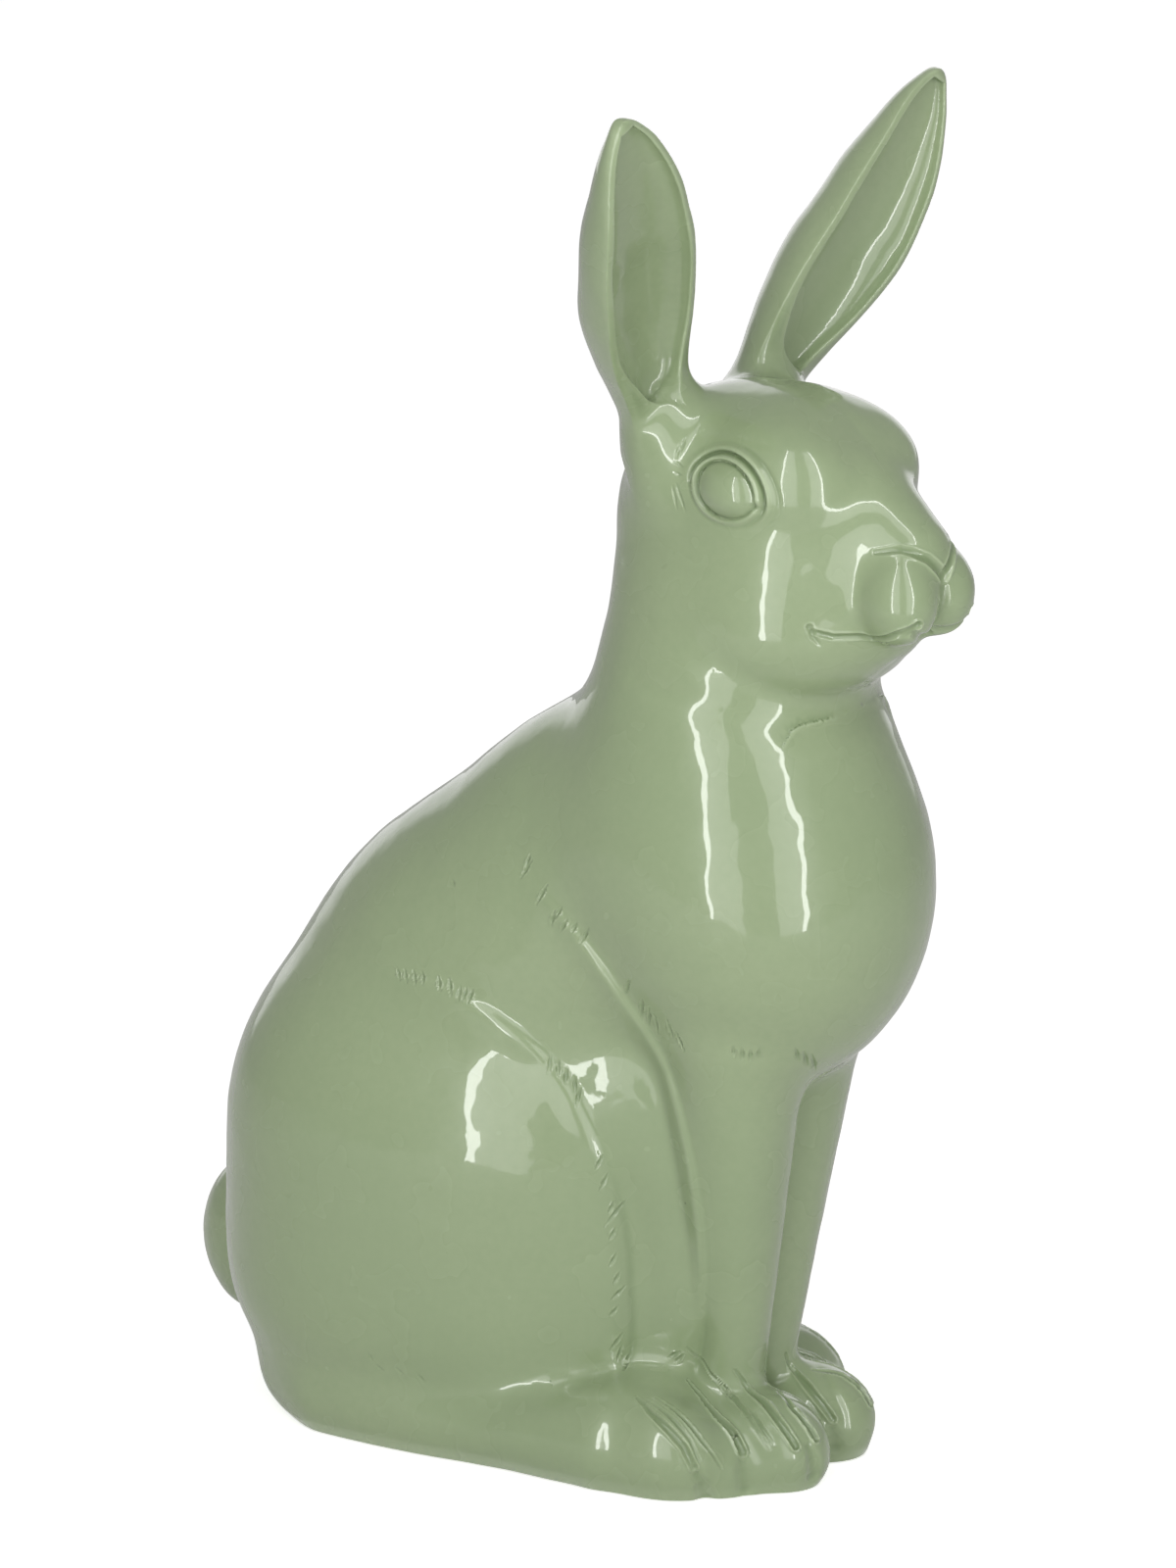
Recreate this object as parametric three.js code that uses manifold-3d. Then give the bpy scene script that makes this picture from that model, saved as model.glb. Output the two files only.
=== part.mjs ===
// Sitting hare figurine in gloss lacquered cast resin.
// The torso and the head are hollow castings. The ears and the tail are solid ones, set in sockets.
// A plate closes the open underside, and the figure stands on four felt pads.
// Millimetres, +Z up. The hare faces -Y, so its left side is +X.
import * as THREE from 'three';
import { mergeVertices } from 'three/addons/utils/BufferGeometryUtils.js';
import Module from 'manifold-3d';

const wasm = await Module();
wasm.setup();

// Overall sizes. The masses below are given for the drawn sizes and stretch with these three.
const HEIGHT = 396;
const LENGTH = 258;
const WIDTH = 141;
const DRAWN = { height: 396, length: 258, width: 141 };

// Castings
const WALL = 5;
const GLUE_GAP = 0.3;
const NECK_JOINT_HEIGHT = 229;
const NECK_WALL = 9;
const NECK_LAND = 15;
const COLLAR_WALL = 4;
const COLLAR_DEPTH = 12;
const EAR_SOCKET_DEPTH = 8;
const EAR_PIN = { radius: 1.5, inHead: 9, inEar: 14, clearance: 0.3 };
const TAIL_SPIGOT = { radius: 5, reach: 9 };

// Underside
const FLOOR_GAP = 0.5;
const FLANGE_TOP = 9;
const RIM_WIDTH = 8;
const PLATE_THICKNESS = 4;
const LEDGE_WIDTH = 6;
const VENT_RADIUS = 3;
const PAD = { radius: 7, thickness: 2, gap: 0.3 };
const FRONT_PAD = { side: 38, forward: 66 };
const REAR_PAD_INSET = { side: 22, rear: 24 };

// Fineness of the moulded surfaces
const TORSO_CELL = 9.5;
const TORSO_CAVITY_CELL = 15;
const HEAD_CELL = 6;
const HEAD_CAVITY_CELL = 9;
const TAIL_CELL = 5.5;
const EAR_RING_STEP = 6;
const ROUND_SIDES = 24;
const PLATE_SIDES = 40;

const STRETCH_SIDE = WIDTH / DRAWN.width;
const STRETCH_FORWARD = LENGTH / DRAWN.length;
const STRETCH_UP = HEIGHT / DRAWN.height;
const STRETCH_ROUND = Math.cbrt(STRETCH_SIDE * STRETCH_FORWARD * STRETCH_UP);

// A point from its distance to the hare's left, its distance forward and its height
function at(side, forward, up) {
  return new THREE.Vector3(side * STRETCH_SIDE, -forward * STRETCH_FORWARD, up * STRETCH_UP);
}

const JOINT = NECK_JOINT_HEIGHT * STRETCH_UP;

// The head is turned a little to the hare's right and tilted to that side.
const HEAD_PIVOT = at(0, 80, 270);
const HEAD_TURN = THREE.MathUtils.degToRad(10);
const HEAD_TILT = THREE.MathUtils.degToRad(2.5);

// Smooth union of two distances over the width k. A distance is below zero inside.
function blend(a, b, k) {
  const h = Math.max(k - Math.abs(a - b), 0) / k;
  return Math.min(a, b) - h * h * h * k / 6;
}

// Egg shaped mass: its centre, its half sizes, how square it is (2 is an ellipsoid),
// and how many degrees its front is turned towards the middle
function mass([side, forward, up], [halfSide, halfForward, halfUp], power = 2, toeIn = 0) {
  const centre = at(side, forward, up);
  const a = halfSide * STRETCH_SIDE;
  const b = halfForward * STRETCH_FORWARD;
  const c = halfUp * STRETCH_UP;
  const cosine = Math.cos(THREE.MathUtils.degToRad(toeIn));
  const sine = Math.sin(THREE.MathUtils.degToRad(toeIn));
  return (x, y, z) => {
    const dx = x - centre.x;
    const dy = y - centre.y;
    const u = Math.max(Math.abs(dx * cosine - dy * sine) / a, 1e-6);
    const v = Math.max(Math.abs(dx * sine + dy * cosine) / b, 1e-6);
    const w = Math.max(Math.abs(z - centre.z) / c, 1e-6);
    const k = (u ** power + v ** power + w ** power) ** (1 / power);
    const slope = Math.hypot(u ** (power - 1) / a, v ** (power - 1) / b, w ** (power - 1) / c);
    return (k - 1) / (slope * k ** (1 - power));
  };
}

// Round limb that tapers from one ball to another
function limb([side0, forward0, up0, radius0], [side1, forward1, up1, radius1]) {
  const start = at(side0, forward0, up0);
  const line = at(side1, forward1, up1).sub(start);
  const r0 = radius0 * STRETCH_ROUND;
  const r1 = radius1 * STRETCH_ROUND;
  const length2 = line.lengthSq();
  const taper = r0 - r1;
  const a2 = length2 - taper * taper;
  return (x, y, z) => {
    const px = x - start.x;
    const py = y - start.y;
    const pz = z - start.z;
    const s = px * line.x + py * line.y + pz * line.z;
    const t = s - length2;
    const across = (px * length2 - line.x * s) ** 2 + (py * length2 - line.y * s) ** 2
      + (pz * length2 - line.z * s) ** 2;
    const k = Math.sign(taper) * taper * taper * across;
    if (Math.sign(t) * a2 * t * t * length2 > k) return Math.sqrt(across + t * t * length2) / length2 - r1;
    if (Math.sign(s) * a2 * s * s * length2 < k) return Math.sqrt(across + s * s * length2) / length2 - r0;
    return (Math.sqrt(across * a2 / length2) + s * taper) / length2 - r0;
  };
}

// Torso masses: centre (side, forward, up), then half sizes in the same order.
// A mass with a side is repeated on the other side.
const SEAT = { centre: [0, -12, 14], half: [54, 59, 25], power: 2.5 };
const NECK = { bottom: [0, 77, 190, 46], top: [0, 83, 252, 37] };
const TAIL = { centre: [0, -84, 39], half: [16, 20, 25] };
const rump = mass([0, -13, 75], [56, 71, 76]);
const back = mass([0, 3, 123], [49, 62.5, 63]);
const withers = mass([0, 48, 172], [40, 50, 50]);
const seat = mass(SEAT.centre, SEAT.half, SEAT.power);
const chest = mass([0, 86.5, 171], [49, 51.5, 59]);
const neck = limb(NECK.bottom, NECK.top);
const foreleg = limb([17, 89, 128, 21], [9, 84, 28, 10.5]);
const flank = mass([11.5, 24, 86], [35, 66, 93], 2.5, 10);
const haunch = mass([4, -2, 84], [57, 76, 68], 2.3, 12);
const hip = mass([3, -4, 52], [57, 76, 56], 2.3, 12);
const paw = mass([14, 98, 9], [16, 20.5, 16.5]);
const pawSide = mass([26, 86, 6], [14, 19, 15]);
const hindFoot = limb([38, -29, 12, 15], [38, 60, 12, 16]);
const hindToes = mass([38, 75, 11], [13, 21, 16]);
const tailEgg = mass(TAIL.centre, TAIL.half);

// Head masses, before the head is turned: forward is counted from the pivot
const skull = mass([0, 7, 271], [33, 41, 43], 2.2);
const throat = mass([0, 10, 252], [37, 42, 27], 2.3);
const muzzle = limb([0, 24, 262, 29], [0, 55, 261, 16]);
const noseBridge = limb([0, 24, 290, 22], [0, 59, 271.5, 11.5]);
const brow = mass([15.5, 28, 291.5], [14, 20, 14.5]);
const jaw = limb([6, 24, 250, 22], [2, 51, 250, 9]);
const whiskerPad = mass([8.3, 62, 261.5], [10, 11, 11.8]);
const eye = mass([26.5, 22, 288], [8.5, 8.5, 8.5]);
const earRoot = mass([22, -5, 298], [12, 11, 19]);

// Ear: the axis from root to tip, and sizes against the fraction of its length
const EAR_BASE = at(24, -14, 309);
const EAR_TIP = at(69, 18, 394);
const EAR_TURNED_OUT = 0.07;
const EAR_HALF_WIDTH = [[-0.2, 9.5], [0, 10.3], [0.13, 12.4], [0.28, 15.9], [0.43, 17.6], [0.58, 17],
  [0.73, 13.9], [0.86, 9.2], [0.95, 5.2], [1, 1.5]];
const EAR_DEPTH = [[-0.2, 9.5], [0, 10.5], [0.15, 15.8], [0.4, 21.3], [0.7, 17.6], [1, 3.2]];
const EAR_RIM_AHEAD = [[0, 7], [0.2, 7.2], [0.5, 8.8], [1, 5.5]];
const EAR_HOLLOW_DEPTH = [[0, 0.5], [0.1, 3.5], [0.25, 8], [0.45, 11], [0.75, 8], [1, 1.2]];
const EAR_RIM_THICKNESS = [[0, 6.5], [0.12, 6], [0.3, 3.2], [1, 2.2]];
const EAR_SWELL = 3;
const EAR_BOW = 2.2;
const EAR_HOLLOW = { start: 0.05, full: 0.2, ends: 0.94 };

function trunkDistance(x, y, z) {
  let d = blend(rump(x, y, z), back(x, y, z), 30);
  d = blend(d, withers(x, y, z), 55);
  d = blend(d, seat(x, y, z), 14);
  d = blend(d, chest(x, y, z), 22);
  return blend(d, neck(x, y, z), 22);
}

function torsoDistance(x, y, z) {
  const side = Math.abs(x);
  let d = trunkDistance(x, y, z);
  d = blend(d, foreleg(side, y, z), 12);
  const softness = THREE.MathUtils.lerp(4, 12, THREE.MathUtils.smoothstep(y, -30, 40));
  d = blend(d, flank(side, y, z), softness);
  d = blend(d, blend(haunch(side, y, z), hip(side, y, z), 8), softness);
  d = blend(d, blend(paw(side, y, z), pawSide(side, y, z), 8), 8);
  return blend(d, blend(hindFoot(side, y, z), hindToes(side, y, z), 8), 8);
}

function headCoreDistance(x, y, z) {
  const d = blend(skull(x, y, z), throat(x, y, z), 10);
  return blend(d, muzzle(x, y, z), 14);
}

function headDistance(x, y, z) {
  const side = Math.abs(x);
  let d = blend(headCoreDistance(x, y, z), noseBridge(x, y, z), 12);
  d = blend(d, brow(side, y, z), 16);
  d = blend(d, jaw(side, y, z), 10);
  d = blend(d, whiskerPad(side, y, z), 6);
  d = blend(d, eye(side, y, z), 1.5);
  return blend(d, earRoot(side, y, z), 14);
}

const headPlace = new THREE.Matrix4().makeTranslation(HEAD_PIVOT)
  .multiply(new THREE.Matrix4().makeRotationZ(-HEAD_TURN))
  .multiply(new THREE.Matrix4().makeRotationY(-HEAD_TILT))
  .multiply(new THREE.Matrix4().makeTranslation(0, 0, -HEAD_PIVOT.z));
const headPlaceBack = headPlace.clone().invert();
const spot = new THREE.Vector3();

// A distance written in head space, read at a point of the figure
function turned(distance) {
  return (x, y, z) => {
    spot.set(x, y, z).applyMatrix4(headPlaceBack);
    return distance(spot.x, spot.y, spot.z);
  };
}

const turnedHead = turned(headDistance);

function figureDistance(x, y, z) {
  return blend(torsoDistance(x, y, z), turnedHead(x, y, z), 4);
}

// Lattice box from the farthest reach on each side, as two corners
function reach({ side, rear, front, bottom, top }) {
  return [at(-side, front, bottom).toArray(), at(side, rear, top).toArray()];
}

const TORSO_REACH = reach({ side: 76, rear: -112, front: 146, bottom: -16, top: NECK_JOINT_HEIGHT + 32 });
const HEAD_REACH = reach({ side: 66, rear: 16, front: 168, bottom: NECK_JOINT_HEIGHT - 20, top: 334 });
const TAIL_REACH = reach({ side: 24, rear: -114, front: -54, bottom: 6, top: 72 });

// Corner of a lattice cell, from its place along one axis and along the next two
function cellCorner(axis, along, u, v) {
  const corner = [0, 0, 0];
  corner[axis] = along;
  corner[(axis + 1) % 3] = u;
  corner[(axis + 2) % 3] = v;
  return corner;
}

// Each of a cell's 12 edges has a number: its axis, and where it starts along the next two
function edgeNumber(axis, corner) {
  return axis * 4 + corner[(axis + 1) % 3] + 2 * corner[(axis + 2) % 3];
}

// The edges of one cell that the surface crosses, in one list for each sheet of it that passes through
function cellSheets(value, crossed) {
  const sheetOf = new Map([...crossed.keys()].map((edge) => [edge, edge]));
  const join = (first, second) => {
    const [kept, gone] = [sheetOf.get(first), sheetOf.get(second)];
    for (const [edge, sheet] of sheetOf) {
      if (sheet === gone) sheetOf.set(edge, kept);
    }
  };
  for (let face = 0; face < 6; face++) {
    const axis = face % 3;
    const side = Math.floor(face / 3);
    const corners = [[0, 0], [1, 0], [0, 1], [1, 1]].map(([u, v]) => ({
      inside: value(cellCorner(axis, side, u, v)) < 0,
      edges: [edgeNumber((axis + 1) % 3, cellCorner(axis, side, 0, v)),
        edgeNumber((axis + 2) % 3, cellCorner(axis, side, u, 0))],
    }));
    const onFace = [...new Set(corners.flatMap(({ edges }) => edges))].filter((edge) => crossed.has(edge));
    if (onFace.length === 2) join(...onFace);
    if (onFace.length < 4) continue;
    for (const { inside, edges } of corners) {
      if (inside) join(...edges);
    }
  }
  return [...new Set(sheetOf.values())].map((sheet) => (
    [...crossed.keys()].filter((edge) => sheetOf.get(edge) === sheet)));
}

// Points on the edges of one cell where the surface crosses them, by edge number
function cellCrossings(value) {
  const crossed = new Map();
  for (const axis of [0, 1, 2]) {
    for (const [u, v] of [[0, 0], [1, 0], [0, 1], [1, 1]]) {
      const a = value(cellCorner(axis, 0, u, v));
      const b = value(cellCorner(axis, 1, u, v));
      if ((a < 0) === (b < 0)) continue;
      crossed.set(edgeNumber(axis, cellCorner(axis, 0, u, v)), cellCorner(axis, a / (a - b), u, v));
    }
  }
  return crossed;
}

// Moves a point straight onto the surface
function settle(distance, point, cell) {
  const step = 0.05;
  for (let round = 0; round < 3; round++) {
    const { x, y, z } = point;
    const slope = new THREE.Vector3(
      distance(x + step, y, z) - distance(x - step, y, z),
      distance(x, y + step, z) - distance(x, y - step, z),
      distance(x, y, z + step) - distance(x, y, z - step)).divideScalar(2 * step);
    const move = slope.multiplyScalar(-distance(x, y, z) / Math.max(slope.lengthSq(), 0.05));
    point.add(move.clampLength(0, cell * 0.4));
  }
  return point;
}

// Closed surface where a distance is zero, as a net over a lattice.
// The lattice is moved a little where it would pinch two parts of the surface together.
function net(distance, box, cell) {
  let shift = 0;
  let result = netOver(distance, box, cell, shift);
  while (isPinched(result.triangles) && shift < 1) {
    shift += 0.125;
    result = netOver(distance, box, cell, shift);
  }
  return solid(surface(result.points, result.triangles));
}

// True if two triangles run along the same edge in the same direction
function isPinched(triangles) {
  const seen = new Set();
  for (let t = 0; t < triangles.length; t++) {
    const next = t % 3 === 2 ? t - 2 : t + 1;
    seen.add(`${triangles[t]} ${triangles[next]}`);
  }
  return seen.size < triangles.length;
}

// Each sheet of the surface has one point in each cell that it passes through.
function netOver(distance, [low, high], cell, shift) {
  const start = low.map((value) => value - cell * (1 + shift));
  const count = low.map((value, axis) => Math.ceil((high[axis] - value) / cell) + 4);
  const index = (i, j, k) => (i * count[1] + j) * count[2] + k;
  const values = new Float64Array(count[0] * count[1] * count[2]);
  const eachNode = (first, action) => {
    for (let i = first; i < count[0] - first; i++) {
      for (let j = first; j < count[1] - first; j++) {
        for (let k = first; k < count[2] - first; k++) action(i, j, k);
      }
    }
  };
  eachNode(0, (i, j, k) => {
    values[index(i, j, k)] = distance(start[0] + i * cell, start[1] + j * cell, start[2] + k * cell);
  });
  const points = [];
  const pointOf = new Map();
  const edgesOfCell = 12;
  eachNode(1, (i, j, k) => {
    const value = (corner) => values[index(i - 1 + corner[0], j - 1 + corner[1], k - 1 + corner[2])];
    const crossed = cellCrossings(value);
    if (!crossed.size) return;
    for (const sheet of cellSheets(value, crossed)) {
      const point = new THREE.Vector3();
      for (const edge of sheet) {
        point.add(new THREE.Vector3(...crossed.get(edge)));
        pointOf.set(index(i - 1, j - 1, k - 1) * edgesOfCell + edge, points.length);
      }
      point.divideScalar(sheet.length).add(new THREE.Vector3(i - 1, j - 1, k - 1));
      point.multiplyScalar(cell).add(new THREE.Vector3(...start));
      points.push(settle(distance, point, cell));
    }
  });
  const triangles = [];
  eachNode(1, (i, j, k) => {
    const inside = values[index(i, j, k)] < 0;
    for (const axis of [0, 1, 2]) {
      const next = cellCorner(axis, 1, 0, 0);
      if ((values[index(i + next[0], j + next[1], k + next[2])] < 0) === inside) continue;
      const [a, b, c, d] = [[1, 1], [0, 1], [0, 0], [1, 0]].map(([u, v]) => {
        const corner = cellCorner(axis, 0, u, v);
        const cellIndex = index(i - corner[0], j - corner[1], k - corner[2]);
        return pointOf.get(cellIndex * edgesOfCell + edgeNumber(axis, corner));
      });
      const short = points[a].distanceTo(points[c]) < points[b].distanceTo(points[d]);
      const pair = short ? [[a, b, c], [a, c, d]] : [[a, b, d], [b, c, d]];
      for (const triangle of pair) triangles.push(...(inside ? triangle : triangle.reverse()));
    }
  });
  return { points, triangles };
}

function surface(points, triangles) {
  const geometry = new THREE.BufferGeometry();
  geometry.setFromPoints(points);
  geometry.setIndex(triangles);
  return geometry;
}

// Closed skin through rings of equally many points, with fans over both ends
function loft(rings) {
  const points = rings.flat();
  const size = rings[0].length;
  const triangles = [];
  for (let i = 0; i < size; i++) {
    const next = (i + 1) % size;
    for (let r = 0; r < rings.length - 1; r++) {
      const a = r * size + i;
      const b = r * size + next;
      triangles.push(a, b, b + size, a, b + size, a + size);
    }
    const lastRing = (rings.length - 1) * size;
    triangles.push(points.length, next, i);
    triangles.push(points.length + 1, lastRing + i, lastRing + next);
  }
  for (const ring of [rings[0], rings.at(-1)]) {
    points.push(ring.reduce((sum, p) => sum.add(p), new THREE.Vector3()).divideScalar(size));
  }
  return surface(points, triangles);
}

function solid(geometry) {
  const bare = geometry.clone();
  bare.deleteAttribute('normal');
  bare.deleteAttribute('uv');
  const merged = mergeVertices(bare, 1e-4);
  return new wasm.Manifold(new wasm.Mesh({
    numProp: 3,
    vertProperties: new Float32Array(merged.attributes.position.array),
    triVerts: new Uint32Array(merged.index.array),
  }));
}

// Everything between two heights
function slab(bottom, top) {
  const wide = 3 * (LENGTH + WIDTH);
  const geometry = new THREE.BoxGeometry(wide, wide, top - bottom);
  return solid(geometry.translate(0, 0, (top + bottom) / 2));
}

// Upright prism with a rounded outline, between two heights
function ovalPrism(halfX, halfY, centreY, power, bottom, top) {
  const outline = [];
  for (let i = 0; i < PLATE_SIDES; i++) {
    const c = Math.cos(2 * Math.PI * i / PLATE_SIDES);
    const s = Math.sin(2 * Math.PI * i / PLATE_SIDES);
    const x = halfX * Math.sign(c) * Math.abs(c) ** (2 / power);
    const y = halfY * Math.sign(s) * Math.abs(s) ** (2 / power);
    outline.push(new THREE.Vector2(x, y + centreY));
  }
  const depth = top - bottom;
  const geometry = new THREE.ExtrudeGeometry(new THREE.Shape(outline), { depth, bevelEnabled: false });
  return solid(geometry.translate(0, 0, bottom));
}

// Round rod between two points
function rod(start, end, radius) {
  const line = end.clone().sub(start);
  const geometry = new THREE.CylinderGeometry(radius, radius, line.length(), ROUND_SIDES);
  const turn = new THREE.Quaternion().setFromUnitVectors(new THREE.Vector3(0, 1, 0), line.clone().normalize());
  geometry.applyQuaternion(turn);
  return solid(geometry.translate(...start.clone().lerp(end, 0.5).toArray()));
}

// Upright round disc on a point of its bottom face
function disc(centre, radius, bottom, top) {
  return rod(new THREE.Vector3(centre.x, centre.y, bottom), new THREE.Vector3(centre.x, centre.y, top), radius);
}

// Value at t on a line through (fraction, value) pairs
function valueAt(table, t) {
  const i = table.findIndex(([fraction]) => fraction > t);
  if (i === 0) return table[0][1];
  if (i < 0) return table.at(-1)[1];
  const [t0, v0] = table[i - 1];
  const [t1, v1] = table[i];
  return v0 + (v1 - v0) * (t - t0) / (t1 - t0);
}

// Axes of the left ear in head space. The right ear is its mirror image.
const EAR_UP = EAR_TIP.clone().sub(EAR_BASE).normalize();
const EAR_LENGTH = EAR_TIP.distanceTo(EAR_BASE);
const EAR_FRONT = new THREE.Vector3(EAR_TURNED_OUT, -1, 0);
EAR_FRONT.addScaledVector(EAR_UP, -EAR_FRONT.dot(EAR_UP)).normalize();
const EAR_OUT = new THREE.Vector3().crossVectors(EAR_UP, EAR_FRONT);

// One ring of the ear: round the back, over the inner rim, along the hollow and over the outer rim.
// A grown ring is a socket's: it grows twice as much in front, where the rims make a step.
function earRing(t, grow, filled) {
  const half = valueAt(EAR_HALF_WIDTH, t) * STRETCH_ROUND + grow;
  const depth = valueAt(EAR_DEPTH, t) * STRETCH_ROUND + grow;
  const ahead = valueAt(EAR_RIM_AHEAD, t) * STRETCH_ROUND;
  const opening = THREE.MathUtils.smoothstep(t, EAR_HOLLOW.start, EAR_HOLLOW.full);
  const closing = 1 - THREE.MathUtils.smoothstep(t, EAR_HOLLOW.ends, 1);
  const hollow = filled ? 0 : opening * closing;
  const thickness = valueAt(EAR_RIM_THICKNESS, t);
  const inner = Math.max(half - thickness, half / 4);
  const bottom = valueAt(EAR_HOLLOW_DEPTH, t) * STRETCH_ROUND;
  const swell = EAR_SWELL * Math.min(half / EAR_HALF_WIDTH[1][1], 1);
  const front = THREE.MathUtils.lerp(swell, -bottom, hollow);
  const rim = THREE.MathUtils.lerp(swell, Math.min(thickness, swell), hollow) / 3 + 2 * grow;
  const bow = EAR_BOW * Math.sin(Math.PI * THREE.MathUtils.clamp(t, 0, 1)) ** 2;
  const centre = EAR_BASE.clone().addScaledVector(EAR_UP, t * EAR_LENGTH)
    .addScaledVector(EAR_OUT, bow).addScaledVector(EAR_FRONT, ahead);
  const ring = [];
  const place = (out, forward) => {
    ring.push(centre.clone().addScaledVector(EAR_OUT, out).addScaledVector(EAR_FRONT, forward));
  };
  const backSteps = 12;
  for (let i = 0; i <= backSteps; i++) {
    const angle = Math.PI * i / backSteps;
    place(half * Math.cos(angle), -depth * Math.sin(angle));
  }
  place(-(half + inner) / 2, rim);
  const frontSteps = 8;
  for (let i = 0; i <= frontSteps; i++) {
    const angle = Math.PI * (1 - i / frontSteps);
    place(inner * Math.cos(angle), front * Math.sin(angle) + 2 * grow);
  }
  place((half + inner) / 2, rim);
  return ring;
}

// The ear's skin between two heights over its root, with rings at the same heights whatever the ends
function earSkin(bottom, top, grow = 0, filled = false) {
  const heights = [bottom];
  const least = EAR_RING_STEP / 4;
  for (let height = -EAR_SOCKET_DEPTH; height < top - least; height += EAR_RING_STEP) {
    if (height > bottom + least) heights.push(height);
  }
  heights.push(top);
  return solid(loft(heights.map((height) => earRing(height / EAR_LENGTH, grow, filled))));
}

// A point on the axis of the ear's pin, at a height above the socket floor
function onPin(height) {
  const t = -EAR_SOCKET_DEPTH / EAR_LENGTH;
  const middle = (valueAt(EAR_RIM_AHEAD, t) - valueAt(EAR_DEPTH, t) / 2) * STRETCH_ROUND;
  return EAR_BASE.clone().addScaledVector(EAR_UP, height - EAR_SOCKET_DEPTH)
    .addScaledVector(EAR_FRONT, middle + EAR_SWELL / 2);
}

// Takes a solid made for the left ear in head space to its place on the left (1) or right (-1) of the head
function onHead(piece, side) {
  return (side > 0 ? piece : piece.mirror([1, 0, 0])).transform(headPlace.elements);
}

function makeEar(side) {
  const { radius, inEar, clearance } = EAR_PIN;
  const hole = rod(onPin(-1), onPin(inEar + clearance), radius + clearance);
  return onHead(earSkin(GLUE_GAP - EAR_SOCKET_DEPTH, EAR_LENGTH).subtract(hole), side);
}

function makeEarPin(side) {
  return onHead(rod(onPin(-EAR_PIN.inHead), onPin(EAR_PIN.inEar), EAR_PIN.radius), side);
}

// Socket for the ear with the pin's hole below it
function earSocket(side) {
  const { radius, inHead, clearance } = EAR_PIN;
  const socket = earSkin(-EAR_SOCKET_DEPTH, EAR_LENGTH / 2, GLUE_GAP, true);
  const hole = rod(onPin(-inHead - clearance), onPin(1), radius + clearance);
  return onHead(socket.add(hole), side);
}

// The neck's radius and place at a height
function neckBore(grow, bottom, top) {
  const [, forward0, up0, radius0] = NECK.bottom;
  const [, forward1, up1, radius1] = NECK.top;
  const t = (NECK_JOINT_HEIGHT - up0) / (up1 - up0);
  const radius = THREE.MathUtils.lerp(radius0, radius1, t) * STRETCH_ROUND - NECK_WALL + grow;
  const centre = at(0, THREE.MathUtils.lerp(forward0, forward1, t), 0);
  return ovalPrism(radius, radius, centre.y, 2, bottom, top);
}

function makeHead() {
  const below = JOINT - HEAD_CELL * 2;
  const skin = net((x, y, z) => Math.max(figureDistance(x, y, z), below - z), HEAD_REACH, HEAD_CELL);
  const core = turned(headCoreDistance);
  const hollow = net((x, y, z) => core(x, y, z) + WALL, HEAD_REACH, HEAD_CAVITY_CELL);
  const roof = JOINT + WALL + GLUE_GAP;
  const collarEnd = JOINT - COLLAR_DEPTH;
  return skin.intersect(slab(JOINT + GLUE_GAP / 2, 2 * HEIGHT))
    .add(neckBore(-GLUE_GAP, collarEnd, roof))
    .subtract(hollow.intersect(slab(roof, 2 * HEIGHT)))
    .subtract(neckBore(-GLUE_GAP - COLLAR_WALL, collarEnd - 1, roof + WALL))
    .subtract(earSocket(1))
    .subtract(earSocket(-1));
}

// Prism with the outline of the seat at the floor, less a margin
function seatPrism(margin, bottom, top) {
  const [, forward, up] = SEAT.centre;
  const [halfSide, halfForward, halfUp] = SEAT.half;
  const narrowing = (1 - (up / halfUp) ** SEAT.power) ** (1 / SEAT.power);
  const halfX = halfSide * narrowing * STRETCH_SIDE - margin;
  const halfY = halfForward * narrowing * STRETCH_FORWARD - margin;
  return ovalPrism(halfX, halfY, at(0, forward, 0).y, SEAT.power, bottom, top);
}

// Where the tail's spigot enters the rump
function tailSeat() {
  const point = at(...TAIL.centre);
  while (torsoDistance(point.x, point.y, point.z) > 0) point.y -= 0.1;
  return point;
}

function tailRod(grow) {
  const end = tailSeat();
  end.y -= TAIL_SPIGOT.reach + grow;
  return rod(at(...TAIL.centre), end, TAIL_SPIGOT.radius + grow);
}

// Net of a distance below the neck joint, closed off a little above it
function torsoNet(distance, inset, cell) {
  const above = JOINT + cell;
  return net((x, y, z) => Math.max(distance(x, y, z) + inset, z - above), TORSO_REACH, cell);
}

function makeTorso(skin, pads) {
  const hollow = torsoNet(trunkDistance, WALL, TORSO_CAVITY_CELL);
  const ledge = FLOOR_GAP + PLATE_THICKNESS + GLUE_GAP;
  let torso = skin.intersect(slab(FLOOR_GAP, JOINT - GLUE_GAP / 2))
    .subtract(hollow.intersect(slab(FLANGE_TOP, JOINT - NECK_LAND)))
    .subtract(neckBore(0, JOINT - NECK_LAND - 1, JOINT + 1))
    .subtract(seatPrism(RIM_WIDTH + LEDGE_WIDTH, 0, FLANGE_TOP + 1))
    .subtract(seatPrism(RIM_WIDTH, 0, ledge))
    .subtract(tailRod(GLUE_GAP));
  for (const pad of pads) torso = torso.subtract(padPocket(pad));
  return torso;
}

// The front of the tail follows the rump
function makeTail(torsoSkin) {
  return net(tailEgg, TAIL_REACH, TAIL_CELL)
    .intersect(slab(FLOOR_GAP, HEIGHT))
    .subtract(torsoSkin.translate([0, GLUE_GAP, 0]))
    .add(tailRod(0));
}

function padPocket(centre) {
  return disc(centre, PAD.radius + PAD.gap, -1, PAD.thickness + PAD.gap);
}

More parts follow.
